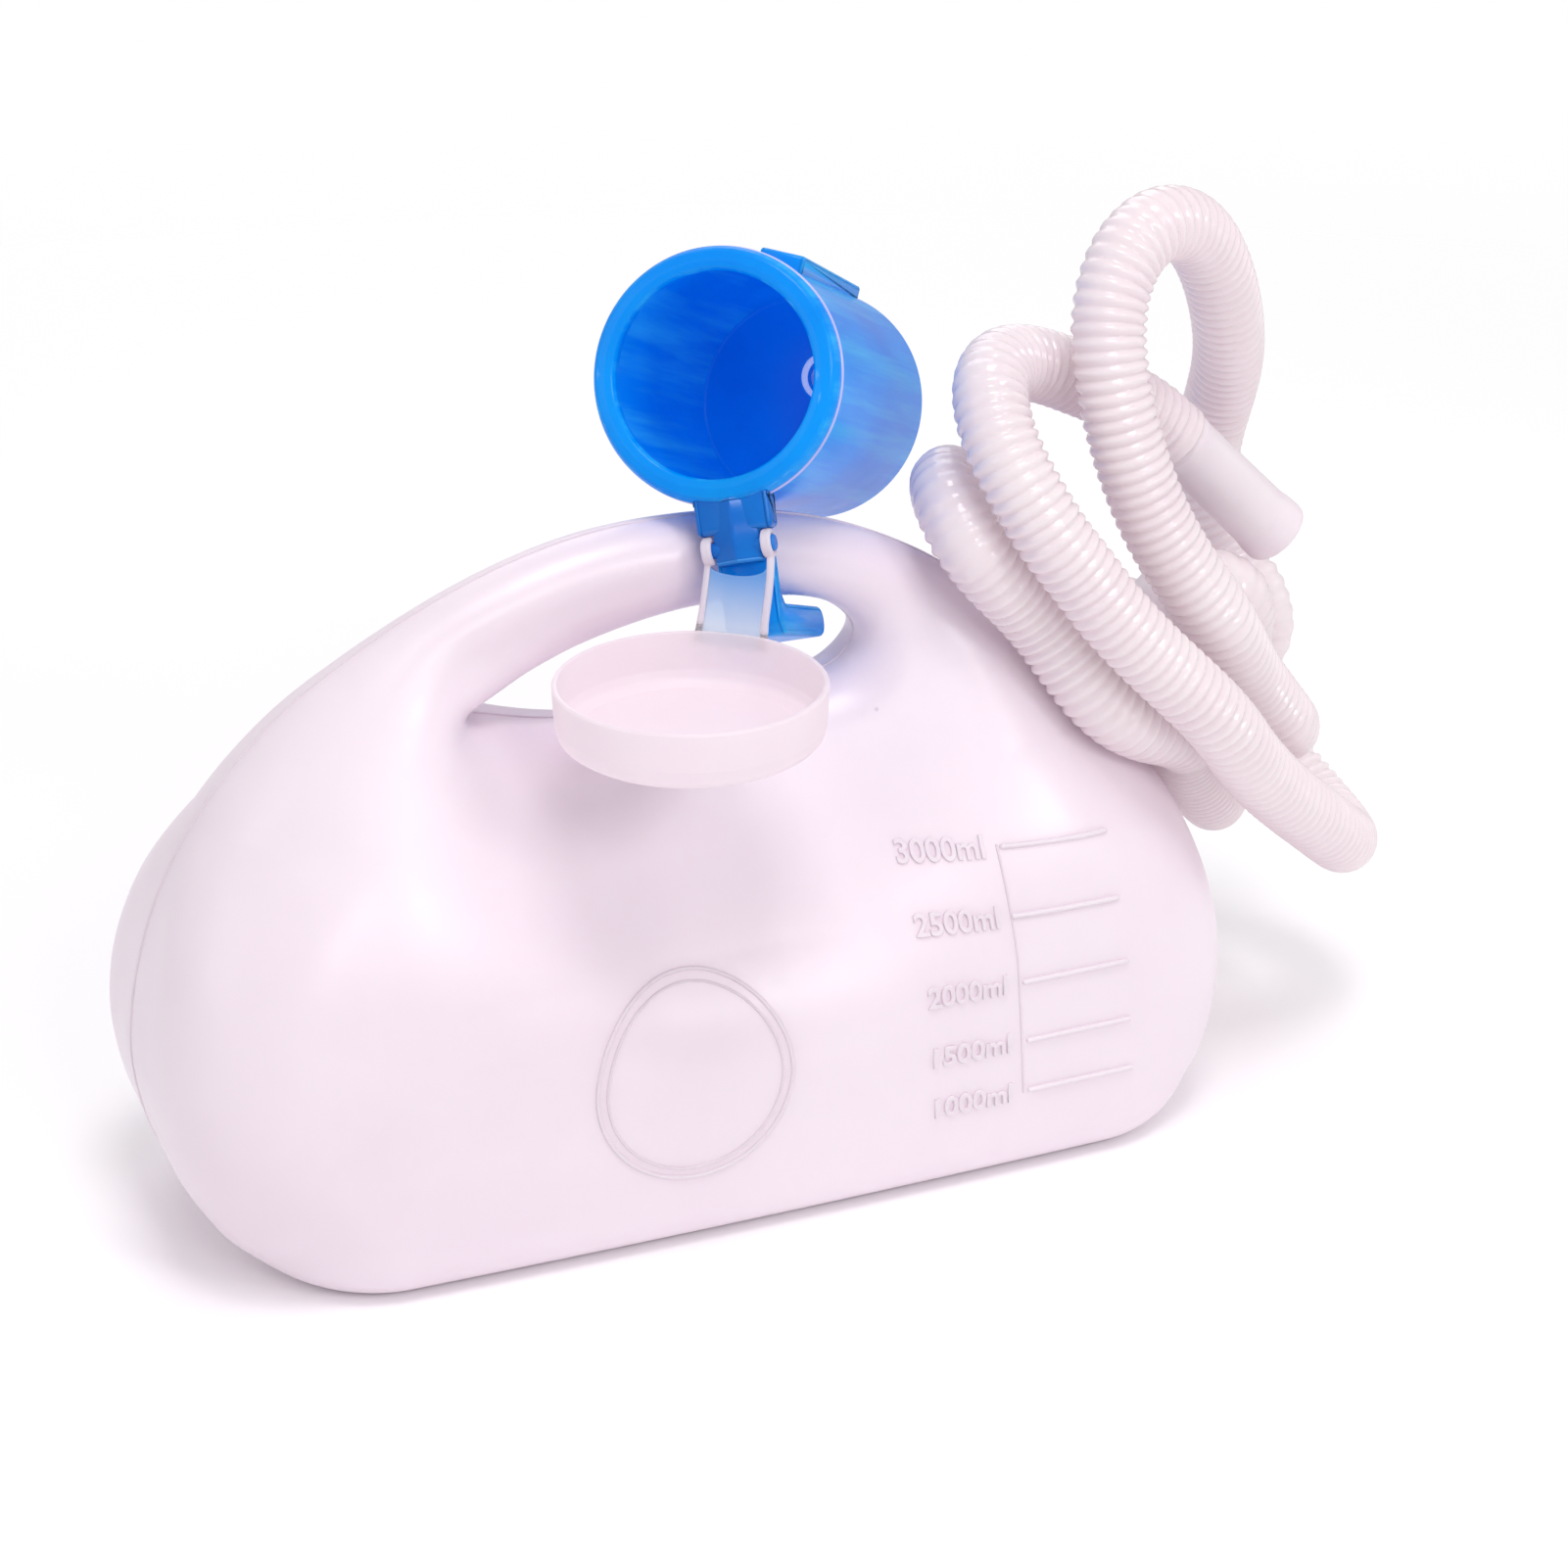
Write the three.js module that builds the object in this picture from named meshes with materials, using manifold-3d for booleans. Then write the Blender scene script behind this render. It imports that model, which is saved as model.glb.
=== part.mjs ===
// Ward urine bottle: a three-litre blow-moulded bottle with a handle through it, a screw cap and a
// hose coiled over its shoulder, and a funnel cup with a hinged lid clipped on the handle.
// Millimetres, +Z up. Origin: middle of the base, on the table. +X runs along the bottle towards the
// neck, +Y points to its back.
import * as THREE from 'three';
import { mergeVertices } from 'three/addons/utils/BufferGeometryUtils.js';
import Module from 'manifold-3d';

const wasm = await Module();
wasm.setup();

// ---------------------------------------------------------------- small helpers
const vec = (coords) => new THREE.Vector3(...coords);
const cross = (a, b) => new THREE.Vector3().crossVectors(a, b);
const clamp = (t, low, high) => Math.min(high, Math.max(low, t));
const smooth = (t) => {
  t = clamp(t, 0, 1);
  return t * t * (3 - 2 * t);
};

const AXIS_X = vec([1, 0, 0]);
const AXIS_Y = vec([0, 1, 0]);
const AXIS_Z = vec([0, 0, 1]);

// Frame with its Z along a direction and its X level.
function frameAlong(origin, direction) {
  const x = cross(AXIS_Y, direction).normalize();
  return new THREE.Matrix4().makeBasis(x, cross(direction, x), direction).setPosition(origin);
}

function meshOf(positions, triangles) {
  const result = new THREE.BufferGeometry();
  result.setAttribute('position', new THREE.Float32BufferAttribute(positions, 3));
  result.setIndex(new THREE.BufferAttribute(new Uint32Array(triangles), 1));
  return result;
}

// Geometry to solid: welds the vertices and drops the triangles that collapse.
function solid(source, matrix) {
  let welded = source.clone();
  for (const name of Object.keys(welded.attributes)) {
    if (name !== 'position') welded.deleteAttribute(name);
  }
  if (matrix) welded.applyMatrix4(matrix);
  welded = mergeVertices(welded, 1e-3);
  const index = welded.index.array;
  const triangles = [];
  for (let i = 0; i < index.length; i += 3) {
    const [a, b, c] = index.slice(i, i + 3);
    if (a !== b && b !== c && a !== c) triangles.push(a, b, c);
  }
  return new wasm.Manifold(new wasm.Mesh({
    numProp: 3,
    vertProperties: new Float32Array(welded.attributes.position.array),
    triVerts: new Uint32Array(triangles),
  }));
}

function geometry(part) {
  const mesh = part.getMesh();
  return meshOf(mesh.vertProperties, mesh.triVerts);
}

const placed = (part, matrix) => solid(geometry(part), matrix);

// Solid of revolution about local Z from (radius, height) points. A profile that starts on the
// axis also ends there; any other is closed into a loop.
function turned(profile, segments, matrix) {
  const points = profile.map(([r, z]) => new THREE.Vector2(r, z));
  if (profile[0][0] !== 0) points.push(points[0].clone());
  const spin = (p) => solid(new THREE.LatheGeometry(p, segments).rotateX(Math.PI / 2));
  let part = spin(points);
  if (part.volume() < 0) part = spin([...points].reverse());
  return matrix ? placed(part, matrix) : part;
}

function shapeOf(outline, holes = []) {
  const points = (list) => list.map(([x, y]) => new THREE.Vector2(x, y));
  const shape = new THREE.Shape(points(outline));
  shape.holes = holes.map((hole) => new THREE.Path(points(hole)));
  return shape;
}

// Flat outline in the plane of the first two axes, extruded along the third.
function extruded(outline, axes, start, end, holes) {
  const options = { depth: end - start, bevelEnabled: false };
  const bar = new THREE.ExtrudeGeometry(shapeOf(outline, holes), options);
  bar.translate(0, 0, start);
  return solid(bar.applyMatrix4(new THREE.Matrix4().makeBasis(...axes)));
}

// Outline in local Y-Z, extruded along local X.
const slab = (outline, x0, x1, holes) =>
  extruded(outline, [AXIS_Y, AXIS_Z, AXIS_X], x0, x1, holes);

// Regular polygon; phase turns it by that share of one side.
const polygon = (radius, sides, centre = [0, 0], phase = 0) =>
  Array.from({ length: sides }, (_, i) => {
    const angle = (i + phase) / sides * 2 * Math.PI;
    return [centre[0] + radius * Math.cos(angle), centre[1] + radius * Math.sin(angle)];
  });

// Solid through matching loops of points, with flat ends.
function loft(loops) {
  const n = loops[0].length;
  const positions = loops.flat().flatMap((p) => p.toArray());
  const triangles = [];
  for (let row = 0; row < loops.length - 1; row++) {
    for (let i = 0; i < n; i++) {
      const a = row * n + i;
      const b = row * n + (i + 1) % n;
      triangles.push(a, b, b + n, a, b + n, a + n);
    }
  }
  const last = (loops.length - 1) * n;
  for (let i = 1; i < n - 1; i++) {
    triangles.push(0, i + 1, i);
    triangles.push(last, last + i, last + i + 1);
  }
  const part = solid(meshOf(positions, triangles));
  if (part.volume() >= 0) return part;
  const flipped = triangles.map((_, i) => triangles[i - (i % 3) + [0, 2, 1][i % 3]]);
  return solid(meshOf(positions, flipped));
}

// ---------------------------------------------------------------- bottle shape
const WALL = 3;
const HANDLE_HALF_DEPTH = 12.4;
const BODY_HALF_DEPTH = 63;
const SIDE_ROUND = 36;        // between front/back faces and the outline
const SIDE_ROUND_SHARE = 0.98; // largest side round, as a share of the half depth
const BASE_ROUND = 11;
const HOLE_ROUND = 11;        // round the handle hole
const OUTER_CELL = 11.5;      // facet sizes of the two skins
const INNER_CELL = 14;

// Narrowing from body to handle: it starts higher and runs longer away from centreX.
const TAPER = { centreX: 2, flat: 12, blend: 88, top: 140.5, topRise: 40, drop: 92, dropGain: 22 };
// Slight loss of body depth towards the ends, and upwards from fromZ over a height.
const SLIM = { ends: 3, halfLength: 150, upper: 2.5, fromZ: 20, height: 60 };

// Bottle outline from the top down: (distance from x = 0, z), on the +X side and the -X side.
const OUTLINE_RIGHT = [
  [0, 188.5], [25, 186.5], [48, 180.5], [72, 169], [94, 153.5], [112, 138.5], [127, 120.5],
  [139, 101.5], [148, 83.5], [154, 64.5], [156.5, 49.5], [155.5, 32.5], [151, 16], [144, 2],
  [141, -30]];
const OUTLINE_LEFT = [
  [25, 187], [48, 181.5], [72, 172], [94, 160], [113, 147], [131, 128.5], [145, 107], [153, 86],
  [157, 66], [157, 50], [153, 32], [144, 15], [134, 1], [131, -30]];
// Handle hole, (x, z).
const HOLE = [
  [-64, 143], [-52, 148], [-30, 157], [-5, 162.5], [18, 163.5], [36, 161.5], [48, 156],
  [53, 147.5], [45, 138.5], [22, 134], [-8, 133], [-36, 135.5], [-54, 139.5]];
const SPLINE_STEPS = 8;

// Catmull-Rom curve through 2D points.
function spline(points, closed) {
  const count = points.length;
  const result = [];
  for (let i = 0; i < (closed ? count : count - 1); i++) {
    const [p, q, r, s] = [-1, 0, 1, 2].map((k) =>
      points[closed ? (i + k + count) % count : clamp(i + k, 0, count - 1)]);
    for (let j = 0; j < SPLINE_STEPS; j++) {
      const t = j / SPLINE_STEPS;
      result.push([0, 1].map((c) => 0.5 * (2 * q[c] + (r[c] - p[c]) * t
        + (2 * p[c] - 5 * q[c] + 4 * r[c] - s[c]) * t * t
        + (3 * q[c] - p[c] - 3 * r[c] + s[c]) * t * t * t)));
    }
  }
  if (!closed) result.push(points[count - 1]);
  return result;
}

// Signed distance from (x, z) to a polygon, negative inside.
function signedDistance(outline, x, z) {
  let nearest = 1e18;
  let inside = false;
  outline.forEach(([ax, az], i) => {
    const [bx, bz] = outline[(i + 1) % outline.length];
    const ex = bx - ax;
    const ez = bz - az;
    // the tiny term guards against an edge of no length
    const t = clamp(((x - ax) * ex + (z - az) * ez) / (ex * ex + ez * ez + 1e-12), 0, 1);
    nearest = Math.min(nearest, (x - ax - ex * t) ** 2 + (z - az - ez * t) ** 2);
    if ((az <= z) !== (bz <= z) && x < ax + (z - az) / (bz - az) * ex) inside = !inside;
  });
  return Math.sqrt(nearest) * (inside ? -1 : 1);
}

const TABLE = { x0: -176, x1: 176, z0: -30, z1: 201, step: 1.5 };

// Signed distance to an outline, tabulated on a grid and read back bilinearly.
function outlineField(outline) {
  const { x0, x1, z0, z1, step } = TABLE;
  const nx = Math.round((x1 - x0) / step) + 1;
  const nz = Math.round((z1 - z0) / step) + 1;
  const grid = new Float64Array(nx * nz);
  for (let i = 0; i < nx; i++) {
    for (let k = 0; k < nz; k++) {
      grid[i * nz + k] = signedDistance(outline, x0 + i * step, z0 + k * step);
    }
  }
  return (x, z) => {
    const fx = clamp((x - x0) / step, 0, nx - 1.001);
    const fz = clamp((z - z0) / step, 0, nz - 1.001);
    const i = Math.floor(fx);
    const k = Math.floor(fz);
    const u = fx - i;
    const v = fz - k;
    return (grid[i * nz + k] * (1 - u) + grid[(i + 1) * nz + k] * u) * (1 - v)
      + (grid[i * nz + k + 1] * (1 - u) + grid[(i + 1) * nz + k + 1] * u) * v;
  };
}

const leftUpwards = OUTLINE_LEFT.map(([x, z]) => [-x, z]).reverse();
const outlineAt = outlineField(spline([...leftUpwards, ...OUTLINE_RIGHT], false));
const holeAt = outlineField(spline(HOLE, true));

// Intersection of two fields with a rounded edge.
function roundMax(a, b, radius) {
  const u = Math.max(radius + a, 0);
  const v = Math.max(radius + b, 0);
  return Math.min(-radius, Math.max(a, b)) + Math.sqrt(u * u + v * v);
}

function halfDepth(x, z) {
  const outward = smooth((Math.abs(x - TAPER.centreX) - TAPER.flat) / TAPER.blend);
  const down = smooth((TAPER.top + TAPER.topRise * outward - z)
    / (TAPER.drop + TAPER.dropGain * outward));
  const low = BODY_HALF_DEPTH - SLIM.ends * (x / SLIM.halfLength) ** 2
    - SLIM.upper * clamp((z - SLIM.fromZ) / SLIM.height, 0, 1) ** 2;
  return HANDLE_HALF_DEPTH + (low - HANDLE_HALF_DEPTH) * down;
}

// Field of the outer skin, negative inside.
function bottle(x, y, z) {
  const depth = halfDepth(x, z);
  const sideRound = Math.min(depth * SIDE_ROUND_SHARE, SIDE_ROUND);
  let f = roundMax(outlineAt(x, z), Math.abs(y) - depth, sideRound);
  f = roundMax(f, -z, BASE_ROUND);
  return roundMax(f, -holeAt(x, z), HOLE_ROUND);
}

// ---------------------------------------------------------------- skin of a field
const SKIN_LOW = [-178, -84, -24];
const SKIN_HIGH = [178, 84, 214];
// Pulling vertices onto the surface: passes, gradient probe, damping, least squared gradient.
const PULL = { passes: 6, probe: 0.2, damping: 0.8, flat: 1e-6 };
const BASE_SNAP = 0.06; // vertices this near z = 0 are set on it
const OTHER_AXES = [[1, 2], [0, 2], [0, 1]];

function pullOntoSurface(field, start, cell) {
  let p = start;
  for (let pass = 0; pass < PULL.passes; pass++) {
    const f = field(...p);
    const slope = [0, 1, 2].map((axis) => {
      const probe = [...p];
      probe[axis] += PULL.probe;
      return (field(...probe) - f) / PULL.probe;
    });
    const squared = slope[0] ** 2 + slope[1] ** 2 + slope[2] ** 2;
    if (squared < PULL.flat) break;
    const move = clamp(f / squared, -cell / 3, cell / 3);
    p = p.map((v, axis) => v - move * slope[axis] * PULL.damping);
  }
  return p;
}

// Closed quad mesh of field < 0, with one vertex per crossed cell.
function skin(field, cell) {
  const count = SKIN_LOW.map((low, axis) => Math.ceil((SKIN_HIGH[axis] - low) / cell) + 1);
  const at = (i, j, k) => (i * count[1] + j) * count[2] + k;
  const point = (node) => node.map((v, axis) => SKIN_LOW[axis] + v * cell);
  const values = new Float64Array(count[0] * count[1] * count[2]);
  const eachNode = (first, trim, visit) => {
    for (let i = first; i < count[0] - trim; i++) {
      for (let j = first; j < count[1] - trim; j++) {
        for (let k = first; k < count[2] - trim; k++) visit([i, j, k]);
      }
    }
  };
  eachNode(0, 0, (node) => {
    values[at(...node)] = field(...point(node));
  });

  const vertexOf = new Map();
  const positions = [];
  eachNode(0, 1, (node) => {
    let sum = [0, 0, 0];
    let crossings = 0;
    for (let edge = 0; edge < 12; edge++) {
      const axis = edge >> 2;
      const [u, v] = OTHER_AXES[axis];
      const from = [0, 0, 0];
      from[u] = edge & 1;
      from[v] = (edge >> 1) & 1;
      const to = [...from];
      to[axis] = 1;
      const [a, b] = [from, to].map((step) => values[at(...node.map((n, w) => n + step[w]))]);
      if ((a < 0) === (b < 0)) continue;
      from[axis] = a / (a - b);
      sum = sum.map((n, w) => n + from[w]);
      crossings++;
    }
    if (!crossings) return;
    const middle = point(node.map((n, axis) => n + sum[axis] / crossings));
    const [x, y, z] = pullOntoSurface(field, middle, cell);
    vertexOf.set(at(...node), positions.length / 3);
    positions.push(x, y, Math.abs(z) < BASE_SNAP ? 0 : z);
  });

  // one quad round every grid edge that crosses the surface
  const triangles = [];
  eachNode(1, 1, (node) => {
    const inside = values[at(...node)] < 0;
    OTHER_AXES.forEach(([u, v], axis) => {
      const next = [...node];
      next[axis]++;
      if (inside === values[at(...next)] < 0) return;
      const corner = (backU, backV) => {
        const near = [...node];
        near[u] -= backU;
        near[v] -= backV;
        return vertexOf.get(at(...near));
      };
      const [a, b, c, d] = [corner(1, 1), corner(0, 1), corner(0, 0), corner(1, 0)];
      const flip = inside === (axis === 1);
      triangles.push(...(flip ? [a, c, b, a, d, c] : [a, b, c, a, c, d]));
    });
  });
  return meshOf(positions, triangles);
}

// ---------------------------------------------------------------- bottle body
// Heights of neck, cap and cap cuff are measured along the neck axis from NECK_AT.
const NECK_AT = [127, 0, 120.5];
const NECK = frameAlong(vec(NECK_AT), vec([0.8, 0, 0.6]).normalize());
const NECK_R = 15;
const NECK_BORE_R = 12;
const NECK_LEN = 12;
const NECK_ROOT_R = NECK_R + 1.5;
const NECK_ROOT = -9;

function makeBody() {
  const outer = solid(skin(bottle, OUTER_CELL));
  const hollow = solid(skin((x, y, z) => bottle(x, y, z) + WALL, INNER_CELL));
  const neck = turned([[0, NECK_ROOT], [NECK_ROOT_R, NECK_ROOT], [NECK_ROOT_R, 1], [NECK_R, 2],
    [NECK_R, NECK_LEN], [0, NECK_LEN]], 32, NECK);
  const bore = turned([[0, -30], [NECK_BORE_R, -30], [NECK_BORE_R, NECK_LEN + 2],
    [0, NECK_LEN + 2]], 24, NECK);
  return outer.add(neck).subtract(hollow).subtract(bore);
}

// ---------------------------------------------------------------- cap, washer
const CAP_R = 20;
const CAP_INNER_R = NECK_R + 0.6;
const CAP_START = 2.5;
const CAP_END = 17.5;
const CAP_CEILING = CAP_END - 3;
const CAP_CHAMFER = 1.2;
const SPIGOT_R = 7;
const SPIGOT_BORE_R = 5.2;
const SPIGOT_END = 27;
const WASHER_R = NECK_R - 0.4;
const WASHER_BORE_R = 6.5;
const WASHER_GAP = 0.3; // to the neck's end and to the cap

const makeCap = () => turned([
  [CAP_INNER_R, CAP_START], [CAP_R, CAP_START], [CAP_R, CAP_END - CAP_CHAMFER],
  [CAP_R - CAP_CHAMFER, CAP_END], [SPIGOT_R, CAP_END], [SPIGOT_R, SPIGOT_END - 1.5],
  [SPIGOT_R - 0.8, SPIGOT_END], [SPIGOT_BORE_R, SPIGOT_END], [SPIGOT_BORE_R, CAP_CEILING],
  [CAP_INNER_R, CAP_CEILING]], 32, NECK);

function makeWasher() {
  const low = NECK_LEN + WASHER_GAP;
  const high = CAP_CEILING - WASHER_GAP;
  return turned([[WASHER_BORE_R, low], [WASHER_R, low], [WASHER_R, high],
    [WASHER_BORE_R, high]], 24, NECK);
}

// ---------------------------------------------------------------- hose and its cuffs
const HOSE_R = 10.3;
const HOSE_BORE_R = 8;
const HOSE_STEP = 10.5; // length of a facet along the hose

// Centre line (x, y, z) of the hose, from the free cuff to the cap.
const HOSE_PATH = [
  [156.6, 6.7, 188.8], [152.5, 6.9, 192.6], [147.6, 6.8, 196.8], [139.6, 6.0, 202.2],
  [130.5, 4.6, 207.4], [121.0, 3.0, 212.2], [111.2, 1.0, 216.8], [101.0, -2.4, 220.4],
  [91.8, -8.6, 221.6], [85.4, -17.0, 218.4], [83.2, -25.6, 210.6], [85.2, -32.0, 201.2],
  [89.6, -36.6, 191.2], [95.0, -40.0, 181.4], [101.9, -42.1, 172.0], [108.4, -44.5, 162.7],
  [115.6, -46.7, 153.9], [123.3, -48.5, 145.5], [131.4, -49.7, 137.3], [139.5, -49.8, 129.0],
  [147.1, -48.0, 120.4], [154.0, -44.6, 111.8], [161.3, -40.7, 103.7], [169.0, -36.9, 95.9],
  [177.1, -33.2, 88.5], [185.3, -29.4, 81.4], [193.5, -25.1, 74.4], [201.4, -19.9, 67.6],
  [208.7, -13.4, 61.6], [214.9, -4.7, 57.3], [218.5, 6.2, 56.4], [218.2, 17.2, 59.7],
  [214.7, 26.3, 65.8], [209.4, 33.9, 72.7], [203.5, 41.0, 79.6], [197.3, 48.0, 86.4],
  [190.6, 53.6, 94.0], [183.7, 55.4, 103.0], [176.3, 54.2, 111.8], [166.6, 55.3, 117.7],
  [157.4, 61.8, 116.8], [154.0, 69.6, 109.3], [158.0, 73.4, 99.4], [165.6, 72.3, 90.8],
  [173.1, 69.0, 82.7], [179.8, 64.5, 74.4], [185.7, 58.5, 66.6], [190.1, 49.7, 60.6],
  [191.1, 38.5, 58.7], [187.8, 27.9, 61.6], [182.0, 19.9, 67.4], [175.3, 13.3, 74.3],
  [168.8, 7.2, 81.5], [162.6, 0.8, 88.9], [156.8, -5.9, 96.3], [152.1, -13.3, 103.8],
  [147.1, -23.0, 108.8], [138.3, -29.3, 114.8], [128.6, -33.6, 119.5], [119.0, -35.6, 125.5],
  [111.0, -34.0, 133.6], [105.0, -30.1, 142.6], [99.1, -26.5, 151.9], [91.9, -24.9, 160.7],
  [84.0, -24.6, 169.1], [77.4, -22.5, 178.3], [75.5, -14.9, 186.5], [79.0, -4.4, 188.8],
  [85.3, 4.2, 184.6], [92.1, 10.8, 177.9], [99.2, 16.9, 171.1], [106.6, 22.7, 164.5],
  [114.3, 28.1, 157.7], [122.2, 32.6, 150.6], [130.6, 35.2, 143.1], [139.3, 35.1, 135.6],
  [148.1, 33.7, 128.1], [156.8, 32.5, 120.6], [165.4, 32.0, 113.0], [174.5, 32.3, 105.8],
  [185.2, 32.8, 101.7], [195.9, 31.0, 105.1], [201.1, 28.6, 114.9], [199.5, 30.5, 126.0],
  [195.5, 36.7, 134.9], [192.7, 43.7, 143.6], [191.2, 48.3, 154.0], [190.5, 48.6, 165.5],
  [189.8, 45.2, 176.5], [188.8, 39.7, 186.6], [186.8, 33.3, 196.0], [183.7, 26.6, 204.9],
  [179.8, 20.3, 213.7], [175.3, 14.8, 222.8], [170.3, 10.1, 232.1], [164.5, 5.8, 241.1],
  [157.4, 1.5, 249.2], [148.5, -3.2, 254.7], [138.2, -8.0, 255.9], [128.6, -12.4, 251.4],
  [122.2, -16.2, 242.6], [119.4, -19.4, 231.9], [119.3, -22.3, 220.7], [120.9, -24.7, 209.6],
  [123.6, -26.7, 198.5], [127.3, -28.3, 187.7], [131.9, -29.8, 177.2], [137.5, -31.4, 167.2],
  [143.8, -32.8, 157.7], [150.6, -32.7, 148.3], [156.9, -29.7, 139.1], [163.2, -25.5, 130.3],
  [169.9, -21.8, 121.7], [177.1, -19.2, 113.1], [184.3, -15.8, 104.7], [189.5, -7.4, 99.2],
  [189.8, 3.8, 100.3], [188.6, 11.0, 106.9], [185.2, 13.2, 116.2], [181.5, 8.6, 125.2],
  [177.9, 1.8, 133.8], [173.8, -0.8, 141.1], [168.4, -0.4, 144.8], [161.8, 0.0, 145.0],
  [155.8, 0.0, 142.1], [151.8, 0.0, 139.1]];

function makeHose() {
  const path = new THREE.CatmullRomCurve3(HOSE_PATH.map(vec), false, 'centripetal');
  path.arcLengthDivisions = 1200;
  const section = shapeOf(polygon(HOSE_R, 8), [polygon(HOSE_BORE_R, 6)]);
  const steps = Math.round(path.getLength() / HOSE_STEP);
  const options = { steps, bevelEnabled: false, extrudePath: path };
  return solid(new THREE.ExtrudeGeometry(section, options));
}

const CUFF_OPEN = [189.6, 3.0, 156.5]; // centre of the free cuff's open end
const CUFF_R = 10;
const CUFF_INNER_R = CUFF_R - 2;
const CUFF_BORE_R = 4.8;
const CUFF_TAIL_R = 6.2; // tail inside the hose

function makeFreeCuff() {
  const hoseEnd = vec(HOSE_PATH[0]);
  const axis = vec(CUFF_OPEN).sub(hoseEnd);
  const length = axis.length();
  return turned([[CUFF_BORE_R, -5], [CUFF_TAIL_R, -5], [CUFF_TAIL_R, 0.9], [CUFF_R - 0.3, 0.9],
    [CUFF_R, length - 1], [CUFF_R - 0.6, length], [CUFF_INNER_R, length], [CUFF_INNER_R, 5],
    [CUFF_BORE_R, 2]], 24, frameAlong(hoseEnd, axis.normalize()));
}

const HOSE_START = 31; // the hose's end, along the neck axis
const CAP_CUFF_R = 12.4;
const CAP_CUFF_NOSE_R = 11;
const CAP_CUFF_GAP_R = SPIGOT_R + 0.3; // bore round the spigot
const CAP_CUFF_HOSE_R = HOSE_R + 0.4;  // bore round the hose
const CAP_CUFF_START = CAP_END + 1;
const CAP_CUFF_END = HOSE_START + 5.5;
const CAP_CUFF_STEP = HOSE_START - 1.5; // where the bore changes

const makeCapCuff = () => turned([
  [CAP_CUFF_GAP_R, CAP_CUFF_START], [CAP_CUFF_NOSE_R, CAP_CUFF_START],
  [CAP_CUFF_R, CAP_END + 3.5], [CAP_CUFF_R, CAP_CUFF_END], [CAP_CUFF_HOSE_R, CAP_CUFF_END],
  [CAP_CUFF_HOSE_R, CAP_CUFF_STEP], [CAP_CUFF_GAP_R, CAP_CUFF_STEP]], 24, NECK);

// ---------------------------------------------------------------- funnel cup with its clip
// Cup frame: origin at the rim's centre, Z out of the mouth, X along the hinge, Y mostly up.
const cupZ = vec([-0.6027, -0.7079, 0.3681]).normalize();
const hingeDir = vec([0.7968, -0.5582, 0.2312]);
const cupX = hingeDir.clone().addScaledVector(cupZ, -hingeDir.dot(cupZ)).normalize();
const cupY = cross(cupZ, cupX);
const CUP = new THREE.Matrix4().makeBasis(cupX, cupY, cupZ).setPosition(9.78, -4.53, 228.27);

const CUP_BACK = -95;
const CUP_FLOOR = -86;
const FLOOR_UNDER = CUP_FLOOR - 2.6;
const CUP_R = 33.5;
const CUP_BASE_R = 33.1;
const RIM_R = 34.65;
const RIM_INNER_R = 27.6;
const OUTLET = new THREE.Matrix4().makeTranslation(7.4, 6, 0); // off the floor's middle
const OUTLET_R = 7.3;
const OUTLET_BORE_R = 4.8;
const OUTLET_END = CUP_BACK - 8;
const SEAT_R = 7.2; // shallow seat for the ring
const SEAT_Z = CUP_FLOOR - 1.4;
const HINGE = [-46, -4]; // (y, z)
const PIN_R = 2.2;
const CLIP_INNER = -61.6; // y of the arm's upper and lower faces
const CLIP_OUTER = CLIP_INNER - 8.4;
const CLIP_TIP = -50;
const STEM_BACK = -11.4; // z of the stem's faces
const STEM_FRONT = -8.1;

// Cup wall, floor and rim, (radius, z).
const CUP_PROFILE = [
  [0, FLOOR_UNDER], [30.9, FLOOR_UNDER], [31.1, CUP_BACK], [CUP_BASE_R - 0.8, CUP_BACK],
  [CUP_BASE_R, CUP_BACK + 0.8], [CUP_R, -7.6], [RIM_R, -6.6], [RIM_R, -1.3], [RIM_R - 1.3, 0],
  [RIM_INNER_R + 1.4, 0], [RIM_INNER_R, -1.4], [RIM_INNER_R, -4.6], [31, -8.5],
  [30.7, CUP_FLOOR + 2.6], [28.6, CUP_FLOOR], [0, CUP_FLOOR]];
// Stem down the front of the handle, arm back under it with a rounded tip, (y, z).
const CLIP = [
  [-32.6, STEM_BACK], [-32.6, STEM_FRONT], [CLIP_OUTER + 2, STEM_FRONT], [CLIP_OUTER, -10.5],
  [CLIP_OUTER, CLIP_TIP + 4], [CLIP_OUTER + 1.6, CLIP_TIP + 1.2], [CLIP_OUTER + 4.4, CLIP_TIP],
  [CLIP_INNER - 1.8, CLIP_TIP + 0.9], [CLIP_INNER, CLIP_TIP + 3], [CLIP_INNER, -14.5],
  [CLIP_INNER + 3.1, STEM_BACK]];
// Raised block along the top of the cup, (y, z), and its turn towards +X.
const BLOCK = [[31.6, -34], [37.5, -34], [35.9, -93], [31.6, -93]];
const BLOCK_TURN = THREE.MathUtils.degToRad(-22);
// Lug below the rim: a wide head, (y, z), and a narrower bar ridged in front, (x, z).
const LUG_HEAD = [[-41.6, -8.2], [-32.5, -8.2], [-32.5, -1.2], [-41.6, -1.2]];
const LUG_BAR = [[-6.5, -8.2], [6.5, -8.2], [6.5, -2.4], [0, 0], [-6.5, -2.4]];

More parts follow.
